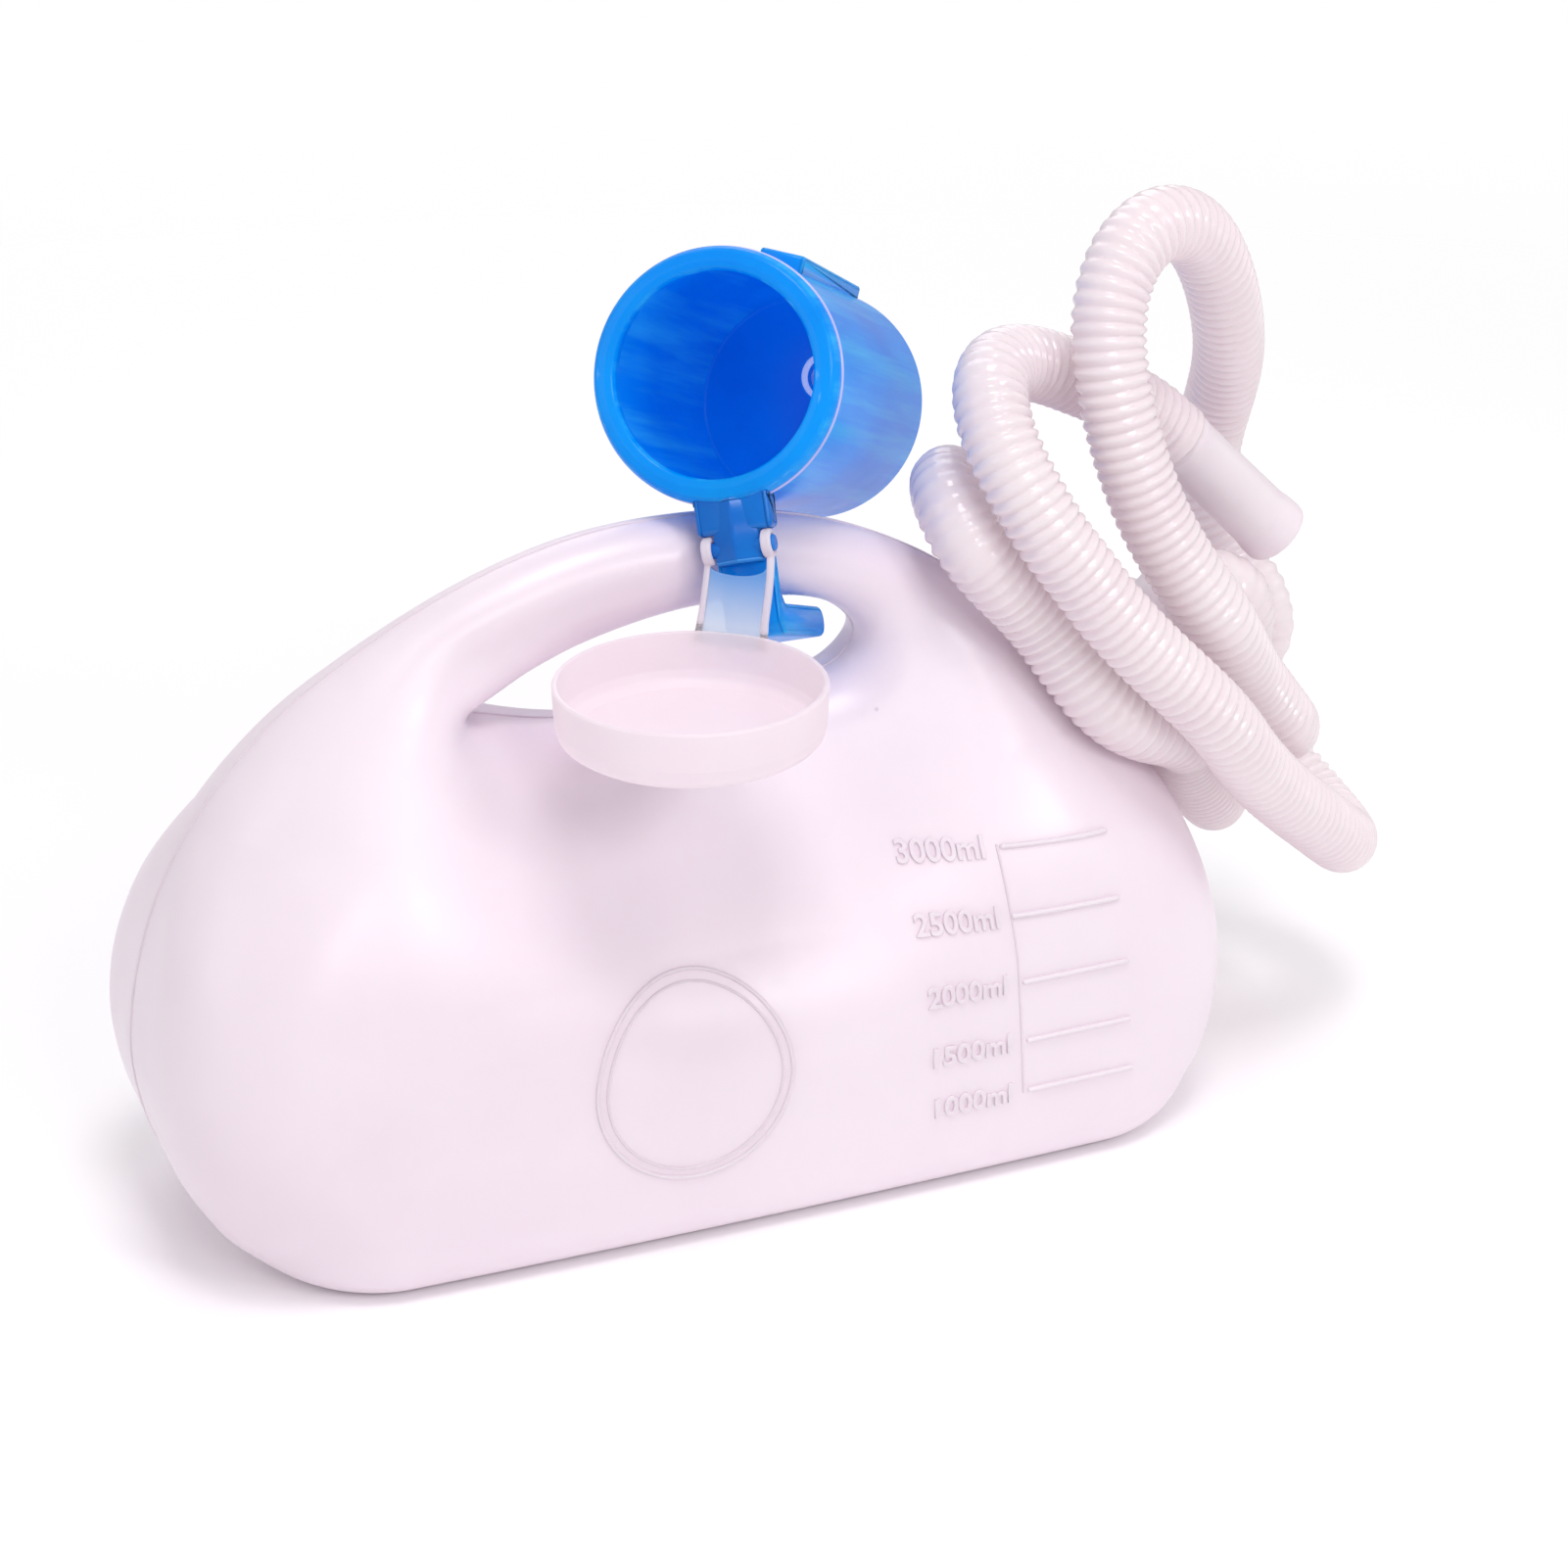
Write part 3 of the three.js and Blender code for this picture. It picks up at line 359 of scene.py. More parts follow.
LID = plastic(
    "lid_polypropylene", light=(1.000, 0.930, 0.960), dark=(0.975, 0.895, 0.930),
    patch_scale=18.0, roughness=0.35, alpha=0.80,
    scatter=0.20, scatter_radius=(0.006, 0.005, 0.005),
    grain_scale=1200.0, grain_bump=0.05, wave_bump=0.04, wave_scale=50.0,
    edge_wear_and_highlight_color=(1.0, 0.97, 0.99), edge_wear_and_highlight_mix=0.6, through=0.35)
STRAP = plastic(
    "strap_polypropylene", light=(0.68, 0.80, 0.95), dark=(0.58, 0.72, 0.92),
    patch_scale=30.0, roughness=0.36, alpha=0.72, coat=0.2, scatter=0.1,
    grain_scale=1500.0, grain_bump=0.04, edge_wear_and_highlight_color=(1.0, 0.98, 1.0), edge_wear_and_highlight_mix=0.5)
# the strap is tinted with the funnel's blue near the hinge and clears towards the lid: a painted
# reflection and show-through of the blue cup
tint_by_height(STRAP, low=0.166, high=0.180, amount=0.85, color=(0.05, 0.31, 0.80))


# ------------------------------------------------------------------ frames and scene pieces
def unit(vector):
    vector = np.array(vector, float)
    return vector / np.linalg.norm(vector)


def frame_matrix(x, y, z, at):
    """4x4 with columns x, y, z and origin, in millimetres."""
    matrix = np.eye(4)
    matrix[:3, 0], matrix[:3, 1], matrix[:3, 2], matrix[:3, 3] = x, y, z, at
    return matrix


def to_frame(points, matrix):
    return points @ matrix[:3, :3].T + matrix[:3, 3]


neck_z = unit(NECK_DIR)
neck_y = np.array([0.0, 1.0, 0.0])
NECK_FRAME = frame_matrix(np.cross(neck_y, neck_z), neck_y, neck_z, NECK_AT)
cup_z = unit(CUP_DIR)
cup_x = unit(np.array(CUP_SIDE) - cup_z * np.dot(CUP_SIDE, cup_z))
cup_y = np.cross(cup_z, cup_x)
CUP_FRAME = frame_matrix(cup_x, cup_y, cup_z, CUP_AT)


def add_piece(name, shape, material, body, frame=None, stands_for=()):
    points = np.asarray(shape[0], float)
    if frame is not None:
        points = to_frame(points, frame)
    mesh = bpy.data.meshes.new(name)
    mesh.from_pydata((points * MM).tolist(), [], [list(map(int, face)) for face in shape[1]])
    mesh.validate()
    mesh.materials.append(material)
    mesh.polygons.foreach_set("use_smooth", [True] * len(mesh.polygons))
    mesh.update()
    piece = bpy.data.objects.new(name, mesh)
    bpy.context.scene.collection.objects.link(piece)
    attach(piece, body)
    if stands_for:
        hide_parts(*stands_for)


# ------------------------------------------------------------------ shape helpers
def join(shapes):
    """Several (points, faces) as one."""
    all_points, all_faces, count = [], [], 0
    for points, faces in shapes:
        all_points.append(np.asarray(points, float))
        all_faces.extend([[int(i) + count for i in face] for face in faces])
        count += len(points)
    return np.concatenate(all_points), all_faces


def rounded(corners, closed=True, steps=5, lead=0.45):
    """Outline of (a, b, radius) corners, each rounded in steps.

    Where there is room, a support point stands on the flats, lead beyond each rounding.
    """
    count, outline = len(corners), []
    for i, (a, b, radius) in enumerate(corners):
        corner = np.array([a, b], float)
        if (not closed and i in (0, count - 1)) or radius <= 0:
            outline.append(corner)
            continue
        before = np.array(corners[i - 1][:2], float) - corner
        after = np.array(corners[(i + 1) % count][:2], float) - corner
        u, v = unit(before), unit(after)
        angle = math.acos(max(-1, min(1, float(u @ v))))
        if angle > math.pi - 0.02:
            outline.append(corner)
            continue
        room = 0.49 * min(np.linalg.norm(before), np.linalg.norm(after))
        cut = min(radius / math.tan(angle / 2), room)
        radius = cut * math.tan(angle / 2)
        centre = corner + unit(u + v) * radius / math.sin(angle / 2)
        start, end = corner + u * cut - centre, corner + v * cut - centre
        support = cut + min(lead, 0.3 * room)
        if support < room:
            outline.append(corner + u * support)
        sweep = math.pi - angle
        for k in range(steps + 1):
            part = k / steps
            spoke = (math.sin((1 - part) * sweep) * start + math.sin(part * sweep) * end)
            outline.append(centre + spoke / math.sin(sweep))
        if support < room:
            outline.append(corner + v * support)
    return np.array(outline)


def counterclockwise(outline):
    """The outline turned so that its area is positive, which makes faces look outwards."""
    outline = np.array(outline, float)
    x, y = outline[:, 0], outline[:, 1]
    if np.sum(x * np.roll(y, -1) - np.roll(x, -1) * y) < 0:
        outline = outline[::-1]
    return outline


def full_turn(count):
    """Angles of count even steps round a circle."""
    return np.arange(count) / count * 2 * math.pi


def lathe(profile, segments, closed=True, radius=None):
    """Solid of revolution about local z from (r, z). radius(r, z, angle) may change r.

    Open profiles start and end on the axis.
    """
    profile = counterclockwise(profile)
    points, rows = [], []
    for r, z in profile:
        if r < 1e-6:
            rows.append([len(points)])
            points.append((0, 0, z))
            continue
        rows.append(list(range(len(points), len(points) + segments)))
        for angle in full_turn(segments):
            local_r = radius(r, z, angle) if radius else r
            points.append((local_r * math.cos(angle), local_r * math.sin(angle), z))
    faces, count = [], len(profile)
    for i in range(count if closed else count - 1):
        row, following = rows[i], rows[(i + 1) % count]
        if len(row) == 1 and len(following) == 1:
            continue
        for s in range(segments):
            t = (s + 1) % segments
            if len(row) == 1:
                faces.append((row[0], following[t], following[s]))
            elif len(following) == 1:
                faces.append((row[s], row[t], following[0]))
            else:
                faces.append((row[s], row[t], following[t], following[s]))
    return np.array(points), faces


def ring_faces(rings, sides, looped=False):
    """Faces between successive rings of points, with end faces unless the rings loop."""
    faces = []
    for s in range(rings if looped else rings - 1):
        here, ahead = s * sides, ((s + 1) % rings) * sides
        for k in range(sides):
            j = (k + 1) % sides
            faces.append((here + k, here + j, ahead + j, ahead + k))
    if not looped:
        faces.append(list(range(sides))[::-1])
        faces.append([(rings - 1) * sides + k for k in range(sides)])
    return faces


def prism(outline, x0, x1, edge_r, steps):
    """Outline in (y, z) extruded along x, with rounded long edges."""
    outline = counterclockwise(outline)
    edges = np.roll(outline, -1, 0) - outline
    edges /= np.linalg.norm(edges, axis=1)[:, None] + 1e-12
    normals = np.stack([edges[:, 1], -edges[:, 0]], 1)
    mitres = np.roll(normals, 1, 0) + normals
    mitres /= np.sum(mitres * normals, 1)[:, None] + 1e-9
    lead = min(0.4, (x1 - x0) / 8)
    turns = [k / steps * math.pi / 2 for k in range(steps + 1)]
    # sections as (x, inset of the outline)
    sections = [(x0, edge_r + lead)]
    sections += [(x0 + edge_r * (1 - math.sin(w)), edge_r * (1 - math.cos(w))) for w in turns]
    sections += [(x0 + edge_r + lead, 0.0), (x1 - edge_r - lead, 0.0)]
    sections += [(x1 - edge_r * (1 - math.cos(w)), edge_r * (1 - math.sin(w))) for w in turns]
    sections += [(x1, edge_r + lead)]
    points = [(x, y, z) for x, inset in sections for y, z in outline - mitres * inset]
    return np.array(points, float), ring_faces(len(sections), len(outline))


def carry_normals(tangents, first):
    """Normals along a path, carried on from the first with as little twist as possible."""
    normals = np.zeros_like(tangents)
    normals[0] = first
    for i in range(1, len(tangents)):
        tangent, previous = tangents[i], normals[i - 1]
        normals[i] = unit(previous - tangent * (previous @ tangent))
    return normals


def tube(path, radius, sides, closed=False):
    """Round rod along a path, open ends closed with small domes."""
    path = np.array(path, float)
    if closed:
        tangents = np.roll(path, -1, 0) - np.roll(path, 1, 0)
    else:
        tangents = np.gradient(path, axis=0)
    tangents /= np.linalg.norm(tangents, axis=1)[:, None]
    start = tangents[0]
    up = np.array([0, 0, 1.0]) if abs(start[2]) < 0.9 else np.array([1.0, 0, 0])
    normals = carry_normals(tangents, unit(up - start * (up @ start)))
    binormals = np.cross(tangents, normals)
    rings = [(path[i], radius, i) for i in range(len(path))]  # centre, radius, path index
    if not closed:
        def dome(end, sign):
            return [(path[end] + sign * tangents[end] * radius * reach, radius * size, end)
                    for reach, size in ((0.6, 0.8), (0.9, 0.35))]
        rings = dome(0, -1)[::-1] + rings + dome(-1, 1)
    points = [centre + r * (math.cos(angle) * normals[i] + math.sin(angle) * binormals[i])
              for centre, r, i in rings for angle in full_turn(sides)]
    return np.array(points), ring_faces(len(rings), sides, looped=closed)


def smooth_curve(points, closed, steps):
    """Catmull-Rom curve through points, with steps per span."""
    points = np.array(points, float)
    count, curve = len(points), []
    for i in range(count if closed else count - 1):
        near = [i + k for k in (-1, 0, 1, 2)]
        p0, p1, p2, p3 = [points[j % count if closed else min(max(j, 0), count - 1)] for j in near]
        for j in range(steps):
            t = j / steps
            curve.append(0.5 * (2 * p1 + (p2 - p0) * t + (2 * p0 - 5 * p1 + 4 * p2 - p3) * t * t
                                + (3 * p1 - p0 - 3 * p2 + p3) * t ** 3))
    if not closed:
        curve.append(points[-1])
    return np.array(curve)


# ------------------------------------------------------------------ the bottle as a field
# All fields are negative inside. The two outlines are kept as tables of distance over x and z.
TABLE_X0, TABLE_X1, TABLE_Z0, TABLE_Z1, TABLE_STEP = -182.0, 182.5, -34.0, 217, 1.0


def outline_distance(outline, x, z):
    """Signed distance to a closed outline."""
    nearest = np.full(x.shape, 1e18)
    inside = np.zeros(x.shape, bool)
    for a, b in zip(outline, np.roll(outline, -1, 0)):
        ex, ez = b - a
        wx, wz = x - a[0], z - a[1]
        t = np.clip((wx * ex + wz * ez) / (ex * ex + ez * ez + 1e-12), 0, 1)
        nearest = np.minimum(nearest, (wx - ex * t) ** 2 + (wz - ez * t) ** 2)
        if a[1] != b[1]:
            crosses = (a[1] <= z) != (b[1] <= z)
            inside ^= crosses & (x < a[0] + (z - a[1]) / (b[1] - a[1]) * ex)
    return np.where(inside, -np.sqrt(nearest), np.sqrt(nearest))


def distance_table(outline):
    xs = np.arange(TABLE_X0, TABLE_X1, TABLE_STEP)
    zs = np.arange(TABLE_Z0, TABLE_Z1, TABLE_STEP)
    table = outline_distance(outline, *np.meshgrid(xs, zs, indexing="ij"))
    for _ in range(3):  # takes the creases out of the distances
        for axis in (0, 1):
            index = np.arange(table.shape[axis])
            below = np.take(table, np.maximum(index - 1, 0), axis)
            above = np.take(table, np.minimum(index + 1, index[-1]), axis)
            table = 0.5 * table + 0.25 * (below + above)
    return table


def cubic_weights(t):
    return [(-t ** 3 + 2 * t * t - t) / 2, (3 * t ** 3 - 5 * t * t + 2) / 2,
            (-3 * t ** 3 + 4 * t * t + t) / 2, (t ** 3 - t * t) / 2]


def read_table(table, x, z):
    """Cubic reading of a distance table."""
    column = np.clip((x - TABLE_X0) / TABLE_STEP, 1, table.shape[0] - 3.001)
    row = np.clip((z - TABLE_Z0) / TABLE_STEP, 1, table.shape[1] - 3.001)
    i, k = column.astype(int), row.astype(int)
    x_weights, z_weights = cubic_weights(column - i), cubic_weights(row - k)
    total = 0
    for a in range(4):
        for b in range(4):
            total = total + x_weights[a] * z_weights[b] * table[i + a - 1, k + b - 1]
    return total


outline_curve = smooth_curve([[-x, z] for x, z in OUTLINE_LEFT][::-1] + OUTLINE_RIGHT,
                             closed=False, steps=OUTLINE_STEPS)
hole_curve = smooth_curve(HANDLE_HOLE, closed=True, steps=OUTLINE_STEPS)
OUTLINE_TABLE, HOLE_TABLE = distance_table(outline_curve), distance_table(hole_curve)


def smooth01(t):
    t = np.clip(t, 0, 1)
    return t * t * (3 - 2 * t)


def round_max(a, b, radius):
    """Intersection of two fields with a rounded edge."""
    u, v = np.maximum(radius + a, 0), np.maximum(radius + b, 0)
    return np.minimum(-radius, np.maximum(a, b)) + np.sqrt(u * u + v * v)


def smooth_min(a, b, width):
    """Union of two fields with a soft joint."""
    t = np.clip(0.5 + 0.5 * (b - a) / width, 0, 1)
    return b * (1 - t) + a * t - width * t * (1 - t)


def half_depth(x, z):
    """Half the bottle's depth in y: wide low down, narrowing to the handle."""
    outward = smooth01((np.abs(x - 2) - 12) / 88)
    fullness = smooth01((140.5 + 40 * outward - z) / (92 + 22 * outward))
    low = BODY_HALF_DEPTH - 3 * (x / 150) ** 2 - 2.5 * np.clip((z - 20) / 60, 0, 1) ** 2
    return HANDLE_HALF_DEPTH + (low - HANDLE_HALF_DEPTH) * fullness


def body_from_outlines(x, y, z, outline, hole):
    """Body field from the distances to the side outline and the handle hole."""
    depth = half_depth(x, z)
    field = round_max(outline, np.abs(y) - depth, np.minimum(depth * 0.98, SIDE_ROUND))
    field = round_max(field, -z, BASE_ROUND)
    return round_max(field, -hole, HOLE_ROUND)


def body_field(x, y, z):
    return body_from_outlines(x, y, z, read_table(OUTLINE_TABLE, x, z),
                              read_table(HOLE_TABLE, x, z))


def neck_coords(x, y, z):
    """Distance along the neck's axis from its base, and radius from the axis."""
    dx, dy, dz = x - NECK_AT[0], y - NECK_AT[1], z - NECK_AT[2]
    along = dx * neck_z[0] + dy * neck_z[1] + dz * neck_z[2]
    return along, np.sqrt(np.maximum(dx * dx + dy * dy + dz * dz - along * along, 0))


def with_neck(body, x, y, z):
    along, radius = neck_coords(x, y, z)
    neck = np.maximum(np.maximum(radius - NECK_R, along - NECK_LEN), -NECK_FOOT - along)
    return smooth_min(body, neck, NECK_BLEND)


def outer_skin(x, y, z):
    return with_neck(body_field(x, y, z), x, y, z)


def hollow_wall(body, steepness, x, y, z):
    """Wall between the outer skin and the inside, allowing for how steep the field is."""
    along, radius = neck_coords(x, y, z)
    bore = np.maximum(radius - NECK_BORE_R, -BORE_FOOT - along)
    inside = np.minimum(body + WALL * steepness, bore)
    return np.maximum(with_neck(body, x, y, z), -inside)


def field_change(field, points, reach):
    """Change of the field from -reach to +reach along each axis."""
    return np.stack([field(*(points + step).T) - field(*(points - step).T)
                     for step in np.eye(3) * reach], -1)


def surface_nets(field, xs, ys, zs):
    """Quads over the zero surface of a sampled field, one point per crossed cell."""
    nx, ny, nz = field.shape
    solid = field < 0
    corners = [(i, j, k) for i in (0, 1) for j in (0, 1) for k in (0, 1)]
    solid_corners = np.zeros((nx - 1, ny - 1, nz - 1), np.int8)
    for i, j, k in corners:
        solid_corners += solid[i:nx - 1 + i, j:ny - 1 + j, k:nz - 1 + k]
    crossed = (solid_corners > 0) & (solid_corners < 8)
    cells = np.argwhere(crossed)
    cell_number = -np.ones(crossed.shape, np.int64)
    cell_number[crossed] = np.arange(len(cells))

    # each cell's point is the mean of the crossings on its edges
    total, hits = np.zeros((len(cells), 3)), np.zeros(len(cells))
    ci, cj, ck = cells.T
    for start in corners:
        for axis in range(3):
            if start[axis]:
                continue
            end = list(start)
            end[axis] = 1
            f0 = field[ci + start[0], cj + start[1], ck + start[2]]
            f1 = field[ci + end[0], cj + end[1], ck + end[2]]
            crossing = (f0 < 0) != (f1 < 0)
            place = np.tile(np.array(start, float), (len(cells), 1))
            place[:, axis] += np.where(crossing, f0 / (f0 - f1 + 1e-30), 0)
            total[crossing] += place[crossing]
            hits[crossing] += 1
    steps = np.array([xs[1] - xs[0], ys[1] - ys[0], zs[1] - zs[0]])
    points = (cells + total / hits[:, None]) * steps + np.array([xs[0], ys[0], zs[0]])

    # each crossed grid edge gives a quad between the four cells round it
    quads = []
    for axis in range(3):
        lower, upper = [slice(None)] * 3, [slice(None)] * 3
        lower[axis], upper[axis] = slice(0, -1), slice(1, None)
        solid_below, solid_above = solid[tuple(lower)], solid[tuple(upper)]
        u, v = [other for other in range(3) if other != axis]
        edges = np.argwhere(solid_below != solid_above)
        edges = edges[(edges[:, u] > 0) & (edges[:, v] > 0)
                      & (edges[:, u] < field.shape[u] - 1) & (edges[:, v] < field.shape[v] - 1)]
        around = []
        for du, dv in ((1, 1), (0, 1), (0, 0), (1, 0)):
            cell = edges.copy()
            cell[:, u] -= du
            cell[:, v] -= dv
            around.append(cell_number[tuple(cell.T)])
        quad = np.stack(around, 1)
        forward = solid_below[tuple(edges.T)]
        if axis == 1:
            forward = ~forward
        quad[~forward] = quad[~forward][:, ::-1]
        quads.append(quad)
    return points, np.concatenate(quads)


def snap(points, field, limit):
    """Pulls points onto field = 0, by at most limit in field value each round."""
    points = points.copy()
    for _ in range(3):
        slope = field_change(field, points, 0.5)
        square = np.sum(slope * slope, 1)
        step = np.clip(field(*points.T) / np.maximum(square, 0.2), -limit, limit)
        points -= step[:, None] * slope
    return points


# ------------------------------------------------------------------ bottle
CELL = 1.6  # grid spacing of the bottle's mesh


def build_bottle_shell():
    xs = np.arange(-178.3, 179, CELL)
    ys = np.arange(-84.0 + CELL / 2, 84, CELL)
    zs = np.arange(-23.7, 214, CELL)
    side_x, side_z = np.meshgrid(xs, zs, indexing="ij")
    outline = read_table(OUTLINE_TABLE, side_x, side_z)
    hole = read_table(HOLE_TABLE, side_x, side_z)
    grid = (side_x[:, None, :], ys[None, :, None], side_z[:, None, :])
    body = body_from_outlines(*grid, outline[:, None, :], hole[:, None, :])
    steepness = np.sqrt(sum(slope * slope for slope in np.gradient(body, CELL)))
    wall = hollow_wall(body, np.clip(steepness, 1.0, 2.2), *grid)
    points, quads = surface_nets(wall, xs, ys, zs)
    skin = np.abs(outer_skin(*points.T)) < 1.1
    points[skin] = snap(points[skin], outer_skin, CELL / 3)
    points[np.abs(points[:, 2]) < 0.12, 2] = 0.0  # flat foot
    add_piece("bottle_shell", (points, quads), NATURAL, "bottle",
              stands_for=("bottle_body",))


def front_y(x, z):
    """y of the front wall at (x, z), found by halving."""
    outside, inside = np.full(x.shape, -75.0), np.full(x.shape, -2.0)
    for _ in range(34):
        middle = (outside + inside) / 2
        field = body_field(x, middle, z)
        inside = np.where(field < 0, middle, inside)
        outside = np.where(field < 0, outside, middle)
    return inside


def on_front(x, z, lift):
    """Points lift millimetres proud of the front wall."""
    x, z = np.broadcast_arrays(x, z)
    points = np.stack([x, front_y(x, z), z], -1)
    normals = field_change(body_field, points, 0.6)
    normals /= np.linalg.norm(normals, axis=-1)[..., None]
    return points + normals * np.asarray(lift, float)[..., None]


def graduation_label(label, left, z):
    """Raised text laid on the front wall."""
    text = bpy.data.curves.new("digits", "FONT")
    text.body = label + "ml"
    text.size = LABEL_SIZE
    text.align_x, text.align_y = "LEFT", "CENTER"
    text.extrude, text.offset = 0.45, 0.06
    text.bevel_depth, text.bevel_resolution, text.resolution_u = 0.18, 1, 6
    carrier = bpy.data.objects.new("digits", text)
    bpy.context.scene.collection.objects.link(carrier)
    depsgraph = bpy.context.evaluated_depsgraph_get()
    mesh = bpy.data.meshes.new_from_object(carrier.evaluated_get(depsgraph))
    flat = np.array([vertex.co for vertex in mesh.vertices])
    start = flat[:, 0].min()
    stretch = LABEL_WIDTH / (flat[:, 0].max() - start)
    points = on_front(left + (flat[:, 0] - start) * stretch, z + flat[:, 1], flat[:, 2] + 0.1)
    faces = [list(polygon.vertices) for polygon in mesh.polygons]
    bpy.data.objects.remove(carrier)
    return points, faces


def build_scale():
    """Graduation lines and labels, and the thin line standing along the graduations."""
    marks = []
    for label, z, label_left, line_left, line_right in GRADUATIONS:
        line = on_front(np.linspace(line_left, line_right, 40), z, lift=0.22)
        marks.append(tube(line, radius=0.80, sides=10))
        marks.append(graduation_label(label, label_left, z))
    zs = np.linspace(27.0, 98.0, 90)
    upright = on_front(np.interp(zs, [27, 61, 98], [79.2, 77.4, 75.6]), zs, lift=-0.08)
    marks.append(tube(upright, radius=0.36, sides=8))
    add_piece("bottle_scale", join(marks), NATURAL, "bottle")


def build_plain_ring():
    """Two thin concentric rings on the front wall."""
    angles = full_turn(180)
    rings = []
    for ring_r, bead_r in ((28.0, 0.62), (25.2, 0.40)):
        circle = on_front(RING_X + ring_r * np.cos(angles), RING_Z + ring_r * np.sin(angles), 0.0)
        rings.append(tube(circle, bead_r, sides=10, closed=True))
    add_piece("bottle_plain_ring", join(rings), NATURAL, "bottle")


def seam_skin(x, y, z):
    """Outer skin with a neck stub cut off close to the body."""
    along, radius = neck_coords(x, y, z)
    stub = np.maximum(radius - NECK_R, along - 3.5)
    return smooth_min(body_field(x, y, z), stub, NECK_BLEND)


def on_seam(outline):
    """Moves (x, z) outline points in the plane y = 0 to just proud of the skin."""
    points = np.stack([outline[:, 0], np.zeros(len(outline)), outline[:, 1]], 1)
    for _ in range(8):
        field = seam_skin(*points.T)
        slope = field_change(seam_skin, points, 0.5)
        slope[:, 1] = 0
        size = np.linalg.norm(slope, axis=1)[:, None]
        points -= np.clip(field, -2, 2)[:, None] * slope / np.maximum(size, 0.3)
    return points + slope / np.maximum(size, 1e-6) * 0.02


def build_parting_line():
    """Line of the two mould halves round the outline, broken at the neck, and round the hole."""
    line = on_seam(outline_curve[outline_curve[:, 1] > 6])
    near_neck = neck_coords(*line.T)[1] < 17.5
    first = int(np.argmax(near_neck))
    last = len(near_neck) - int(np.argmax(near_neck[::-1]))
    seam = [tube(part, radius=0.42, sides=8) for part in (line[:first], line[last:])]
    seam.append(tube(on_seam(hole_curve), radius=0.38, sides=8, closed=True))
    add_piece("bottle_parting_line", join(seam), NATURAL, "bottle")


# ------------------------------------------------------------------ cap and washer
# Corner tables of turned parts are (radius, station along the axis, rounding).
def fluted_radius(r, z, angle):
    """Radius of the cap, fluted round its side and fading out at both ends."""
    start, end = CAP_START + 0.8, CAP_END - 2.0
    if r < CAP_R - 1.5 or z < start or z > end:
        return r
    fade = min(1, (z - start) / 1.5, (end - z) / 1.5)
    return r - FLUTE_DEPTH * fade * (0.5 + 0.5 * math.cos(CAP_FLUTES * angle)) ** 1.5


def build_cap():
    """Fluted screw cap with its spigot."""
    cap_bore_r = NECK_R + 0.6
    inner_top = CAP_END - CAP_TOP
    profile = rounded([
        (cap_bore_r, CAP_START, 0.5), (CAP_R, CAP_START, 0.7), (CAP_R, CAP_END, 1.8),
        (SPIGOT_R + 1.6, CAP_END, 1.2), (SPIGOT_R, CAP_END + 1.6, 1.2),
        (SPIGOT_R, SPIGOT_END, 1.0), (SPIGOT_BORE_R, SPIGOT_END, 0.4),
        (SPIGOT_BORE_R, inner_top, 0.3), (cap_bore_r, inner_top, 0.6)])
    dense = []  # extra points so that the flutes can fade along the side
    for a, b in zip(profile, np.roll(profile, -1, 0)):
        count = max(1, int(np.linalg.norm(b - a) / 1.2))
        dense.extend([a + (b - a) * k / count for k in range(count)])
    shape = lathe(dense, segments=320, radius=fluted_radius)
    add_piece("cap_shell", shape, WHITE, "cap", NECK_FRAME, stands_for=("screw_cap",))


def build_washer():
    inner_r, outer_r = 6.5, NECK_R - 0.4
    bottom, top = NECK_LEN + 0.3, CAP_END - CAP_TOP - 0.3
    profile = rounded([(inner_r, bottom, 0.3), (outer_r, bottom, 0.5),
                       (outer_r, top, 0.5), (inner_r, top, 0.3)], steps=4)
    add_piece("cap_seal", lathe(profile, segments=96), RUBBER, "cap", NECK_FRAME,
              stands_for=("cap_washer",))


# ------------------------------------------------------------------ corrugated hose
def soften(values, rounds):
    """Smooths values along their first axis in place, ends kept."""
    for _ in range(rounds):
        values[1:-1] = 0.5 * values[1:-1] + 0.25 * (values[:-2] + values[2:])


def even_path(points, step):
    """Centripetal spline through points, about step apart, with the length along it."""
    points = np.array(points, float)
    padded = np.concatenate([[2 * points[0] - points[1]], points, [2 * points[-1] - points[-2]]])
    spans = []
    for i in range(len(points) - 1):
        a, b, c, d = padded[i:i + 4]
        t0, t1, t2 = [max(np.linalg.norm(gap) ** 0.5, 1e-4) for gap in (b - a, c - b, d - c)]
        m1 = ((b - a) / t0 - (c - a) / (t0 + t1) + (c - b) / t1) * t1
        m2 = ((c - b) / t1 - (d - b) / (t1 + t2) + (d - c) / t2) * t1
        s = np.arange(24)[:, None] / 24
        spans.append(b + m1 * s + (-3 * b + 3 * c - 2 * m1 - m2) * s ** 2
                     + (2 * b - 2 * c + m1 + m2) * s ** 3)
    curve = np.concatenate(spans + [points[-1:]])
    soften(curve, rounds=40)
    gaps = np.linalg.norm(np.diff(curve, axis=0), axis=1)
    length = np.concatenate([[0], np.cumsum(gaps)])
    count = int(round(length[-1] / step))
    stations = np.linspace(0, length[-1], count + 1)
    return np.stack([np.interp(stations, length, curve[:, k]) for k in range(3)], 1), stations


